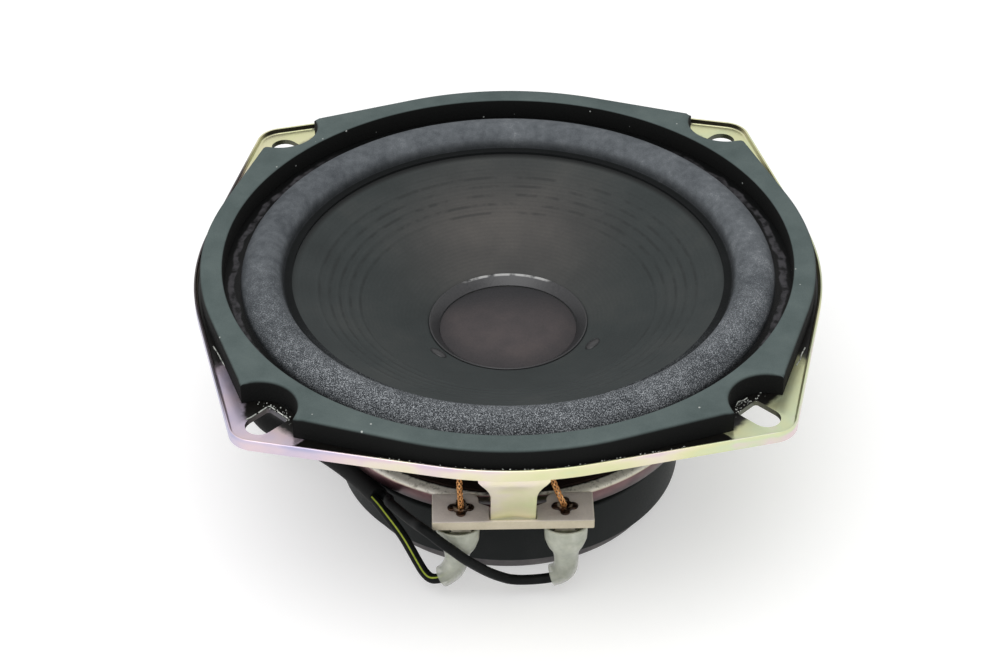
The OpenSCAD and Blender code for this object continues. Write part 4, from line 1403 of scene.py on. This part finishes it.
sleeve = {
    "wall": 0.5,
    "edge": 0.12,
    "halfWidth": [4.6, 4.6, 4.5, 3.9, 3, 2.7, 2.6, 2.6, 2.55, 2.45, 2.4],
    "halfDepth": [3, 3, 3, 3, 2.8, 2.7, 2.6, 2.6, 2.55, 2.45, 2.4],
    "right": [
        (11.2, -47.8, 23.1), (11.2, -47.8, 20.6), (11.2, -47.7, 18.6), (11.25, -47.4, 17),
        (11.3, -47.1, 15.7), (11.4, -46.9, 13.6), (11.4, -46.7, 11.6), (11.15, -46.6, 9.9),
        (10.4, -46.5, 8.7), (9.4, -46.5, 8), (8.3, -46.5, 7.6)],
    "left": [
        (-11.7, -47.8, 23.1), (-11.7, -47.8, 20.6), (-11.7, -47.7, 18.6), (-11.8, -47.4, 16.8),
        (-11.9, -47.1, 15.2), (-12, -46.9, 13.6), (-12.3, -46.7, 11.9), (-12.9, -46.6, 10.3),
        (-13.7, -46.5, 9.1), (-14.6, -46.5, 8.2), (-15.4, -46.5, 7.7)],
}


def makeSleeve(name, node, points, finish):
    # A tube that is flat and wide at the board and round below, with a wall and two open ends
    route = flowing(inMetres(points), 0.35 * mm)
    sections = []
    for index in range(len(route)):
        place = index / (len(route) - 1) * (len(points) - 1)
        k = min(int(place), len(points) - 2)
        width, depth = [(halves[k] * (k + 1 - place) + halves[k + 1] * (place - k)) * mm
                        for halves in (sleeve["halfWidth"], sleeve["halfDepth"])]
        sections.append(ovalSection(depth, width, 40))
    shell = sweep(name, route, sections, (0, 1, 0), capped=False)
    modify(shell, "SOLIDIFY", thickness=sleeve["wall"] * mm, offset=-1)
    bevelled(shell, sleeve["edge"], 2, 60)
    tidyFaces(shell)
    return dress(shell, finish, replaced=[node], angle=60)


milky = milkySleeve()
makeSleeve("sleeve_right_vinyl", "sleeve_right", sleeve["right"], milky)
makeSleeve("sleeve_left_vinyl", "sleeve_left", sleeve["left"], milky)


tinsel = {
    "strands": 8, "strandRadius": 0.16, "layRadius": 0.48, "pitch": 4.6, "over": 0.06, "coreRadius": 0.4,
    "left": [
        (-11, -45.8, 26), (-11, -45.8, 27.5), (-11.1, -45.8, 29.4), (-11.2, -45.2, 32.2),
        (-11.2, -43.4, 34.8), (-11.4, -40.4, 36.8), (-11.8, -36.6, 38), (-12.3, -32.4, 38.4),
        (-12.9, -28, 38.2), (-13.5, -23.6, 37.8), (-14, -19.6, 37.6), (-14.4, -16.6, 38),
        (-14.6, -14.8, 39.1), (-14.6, -14.2, 40.4)],
    "right": [
        (10.85, -45.8, 26), (10.75, -45.8, 27.2), (10.1, -45.85, 29), (9.2, -45.5, 31.2),
        (8.4, -44.6, 33.4), (8, -42.6, 35.4), (8.1, -39.6, 37.2), (9, -36.2, 38.1), (10.2, -32.4, 38.4),
        (11.5, -28, 38.2), (12.8, -23.6, 37.8), (13.8, -19.6, 37.6), (14.4, -16.6, 38),
        (14.6, -14.8, 39.1), (14.6, -14.2, 40.4)],
}


def makeTinsel(name, node, points):
    # Half the strands wind one way and half the other, passing over and under each other
    route = flowing(inMetres(points), 0.22 * mm)
    around = frames(route, (1, 0, 0))
    pairs = tinsel["strands"] // 2
    strands = []
    for strand in range(tinsel["strands"]):
        way = 1 if strand % 2 else -1
        line, travelled = [], 0
        for index, (point, right, up) in enumerate(around):
            if index:
                travelled += (route[index] - route[index - 1]).length / mm
            turn = way * fullTurn * travelled / tinsel["pitch"] + fullTurn * (strand // 2) / pairs
            reach = tinsel["layRadius"] + tinsel["over"] * way * math.cos(turn * pairs * way)
            line.append(point + (right * math.cos(turn) + up * math.sin(turn)) * reach * mm)
        strands.append(roundTube(name, line, tinsel["strandRadius"] * mm, 6))
    braid = joined(name, strands)
    core = roundTube(name + "_core", route, tinsel["coreRadius"] * mm, 10)
    for piece, finish in ((braid, braidFinish), (core, bronzeFinish)):
        dressStretched(piece, finish, node, route[0], route[-1], 60)


makeTinsel("tinsel_left_braid", "tinsel_left", tinsel["left"])
makeTinsel("tinsel_right_braid", "tinsel_right", tinsel["right"])


print("motor and suspension")


def turnedNode(node, name, corners, finish):
    return dress(ringOf(name, rounded(corners, 4)), finish, "frame", [node], 40)


motor = {
    "magnetRadius": 38.8, "magnetBore": 18, "backRadius": 35.8, "plateRadius": 37.4, "plateBore": 13.95,
    "poleRadius": 12.1,
}


def makeMotor():
    foot, top, seat = level["magnetFoot"], level["magnetTop"], level["seat"]
    turnedNode("magnet", "ferrite_ring", [
        (motor["magnetBore"], foot, 0.3), (motor["magnetBore"], top, 0.3),
        (motor["magnetRadius"], top, 0.6), (motor["magnetRadius"], foot, 0.6)], ferrite())
    turnedNode("back_plate", "back_disc", [
        (0, 0, 0), (0, foot, 0), (motor["backRadius"], foot, 0.3), (motor["backRadius"], 0, 0.9)],
        steelFinish)
    turnedNode("top_plate", "top_ring", [
        (motor["plateBore"], top, 0.2), (motor["plateBore"], seat, 0.2),
        (motor["plateRadius"], seat, 0.4), (motor["plateRadius"], top, 0.4)], steelFinish)
    pole = nodeTop("pole_piece")
    turnedNode("pole_piece", "pole_core", [
        (0, foot, 0), (0, pole, 0), (motor["poleRadius"], pole, 0.5), (motor["poleRadius"], foot, 0.1)],
        steelFinish)


makeMotor()

spider = {
    "outer": 41, "waveOuter": 34.4, "waveInner": 15.6, "inner": 13, "cuff": 2,
    "waves": 5, "stepsPerWave": 14, "amplitude": 1.3, "thickness": 0.5,
    "sectors": 12, "columns": 12, "bendFrom": 34.2, "bendTo": 14.6,
}


def spiderProfile():
    # Upper face from the outer rim over the waves to the cuff against the coil's former
    base, inner = level["landing"], spider["inner"]
    steps = spider["waves"] * spider["stepsPerWave"]
    top = [(spider["outer"], base)]
    for k in range(steps + 1):
        radius = spider["waveOuter"] - (spider["waveOuter"] - spider["waveInner"]) * k / steps
        top.append((radius, base + spider["amplitude"] * math.sin(fullTurn * spider["waves"] * k / steps)))
    return top + [(inner + 0.8, base + 0.1), (inner + 0.1, base + 0.6), (inner, base + spider["cuff"])]


def makeSpider():
    # Cut like a cake into slices
    finish = spiderCloth()
    profile = spiderProfile()
    thick = spider["thickness"]
    span = fullTurn / spider["sectors"]
    for sector in range(spider["sectors"]):
        start = span * sector

        def place(index, share):
            radius, height = profile[index]
            angle = start + span * (share + 1) / 2
            return radius * mm * math.cos(angle), radius * mm * math.sin(angle), (height + thick) * mm

        wedge = gridOf("spider_wedge_%02d" % sector, len(profile), spider["columns"], place)
        modify(wedge, "SOLIDIFY", thickness=thick * mm, offset=1)
        tidyFaces(wedge)
        middle = start + span / 2
        outwards = Vector((math.cos(middle), math.sin(middle), 0)) * mm
        dressStretched(wedge, finish, "spider", outwards * spider["bendFrom"],
                       outwards * spider["bendTo"], 60)


makeSpider()


print("stray adhesive")

crumbs = {
    "perPocket": 44, "spread": 3.4, "pocketWall": (65.4, 67.2), "bow": 0.3, "sunk": 0.05,
    "alongLip": 60, "lipTurn": (-0.4, 0.6), "lipInset": 0.15, "lipHeight": (0.9, 1.25),
    "size": (0.07, 0.2), "width": (0.5, 1), "height": (0.4, 0.9), "tilt": (-0.6, 0.6),
    # White threads that stand as painted highlights along the slots' upper edges and on the glossy glue
    # beside the gasket
    "highlightThreads": [
        [(-62.6, -25.2), (-61.4, -27.8), (-60.3, -30.6), (-58.9, -33.4)],
        [(61.9, -28.6), (60.9, -30.9), (60.4, -32.6), (59.4, -34.6)],
        [(-54.2, -49.6), (-53.2, -48.9), (-52.3, -47.9)],
        [(-51.8, -47.5), (-50.7, -46.3), (-49.9, -45.5), (-49.2, -45.9), (-48.5, -46.7)],
        [(-47.9, -47.3), (-46.9, -48.3), (-46, -49.2), (-45.4, -50)],
        [(48.1, -45.1), (47.3, -45.9), (46.2, -46.3), (45.7, -47.4)],
    ],
    "highlightThreadRadius": 0.13, "highlightThreadHeight": 0.15,
}


def crumbAt(x, y, z):
    crumb = added("crumb", "ico_sphere", subdivisions=2, radius=mm, location=(x * mm, y * mm, z * mm))
    size = random.uniform(*crumbs["size"])
    crumb.scale = (size, size * random.uniform(*crumbs["width"]), size * random.uniform(*crumbs["height"]))
    tilts = random.uniform(*crumbs["tilt"]), random.uniform(*crumbs["tilt"])
    crumb.rotation_euler = (*tilts, random.uniform(0, math.pi))
    return placed(crumb)


def makeStrayGlueAndHighlights():
    # Crumbs at the inner side of the pockets and along the front of the lip, and a few white threads that
    # stand as painted highlights on the slots' upper edges and on the glossy glue beside the gasket
    face = level["flange"]
    pieces = []
    for quarter in range(4):
        angle = fullTurn * (quarter + 0.5) / 4
        for count in range(crumbs["perPocket"]):
            off = random.gauss(0, crumbs["spread"])
            out = random.uniform(*crumbs["pocketWall"]) + abs(off) * crumbs["bow"]
            x, y = Matrix.Rotation(angle, 2) @ Vector((out, off))
            pieces.append(crumbAt(x, y, face + crumbs["sunk"]))
    for count in range(crumbs["alongLip"]):
        angle = fullTurn * 0.75 + random.uniform(*crumbs["lipTurn"])
        reach = flangeReach(angle, basket["lipSheet"] + crumbs["lipInset"])
        height = face + random.uniform(*crumbs["lipHeight"])
        pieces.append(crumbAt(reach * math.cos(angle), reach * math.sin(angle), height))
    for highlightThread in crumbs["highlightThreads"]:
        points = [(x, y, face + crumbs["highlightThreadHeight"]) for x, y in highlightThread]
        route = flowing(inMetres(points), 0.4 * mm)
        pieces.append(roundTube("highlightThread", route, crumbs["highlightThreadRadius"] * mm, 8))
    return dress(joined("stray_glue_and_highlights", pieces), crumbAndHighlightFinish, angle=60)


makeStrayGlueAndHighlights()


print("carried-over nodes")


def coat(node, finish):
    # A CAD node keeps its shape and takes a finish
    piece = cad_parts[node]
    piece.data.materials.clear()
    piece.data.materials.append(finish)


for node in ("tab_left", "tab_right", "receptacle_left", "receptacle_right", "contacts"):
    coat(node, brassFinish)
coat("seat_rivets", steelFinish)
coat("lead_dots", glueFinish)
coat("coil_former", kraftFinish)
coat("coil_winding", windingCopper())
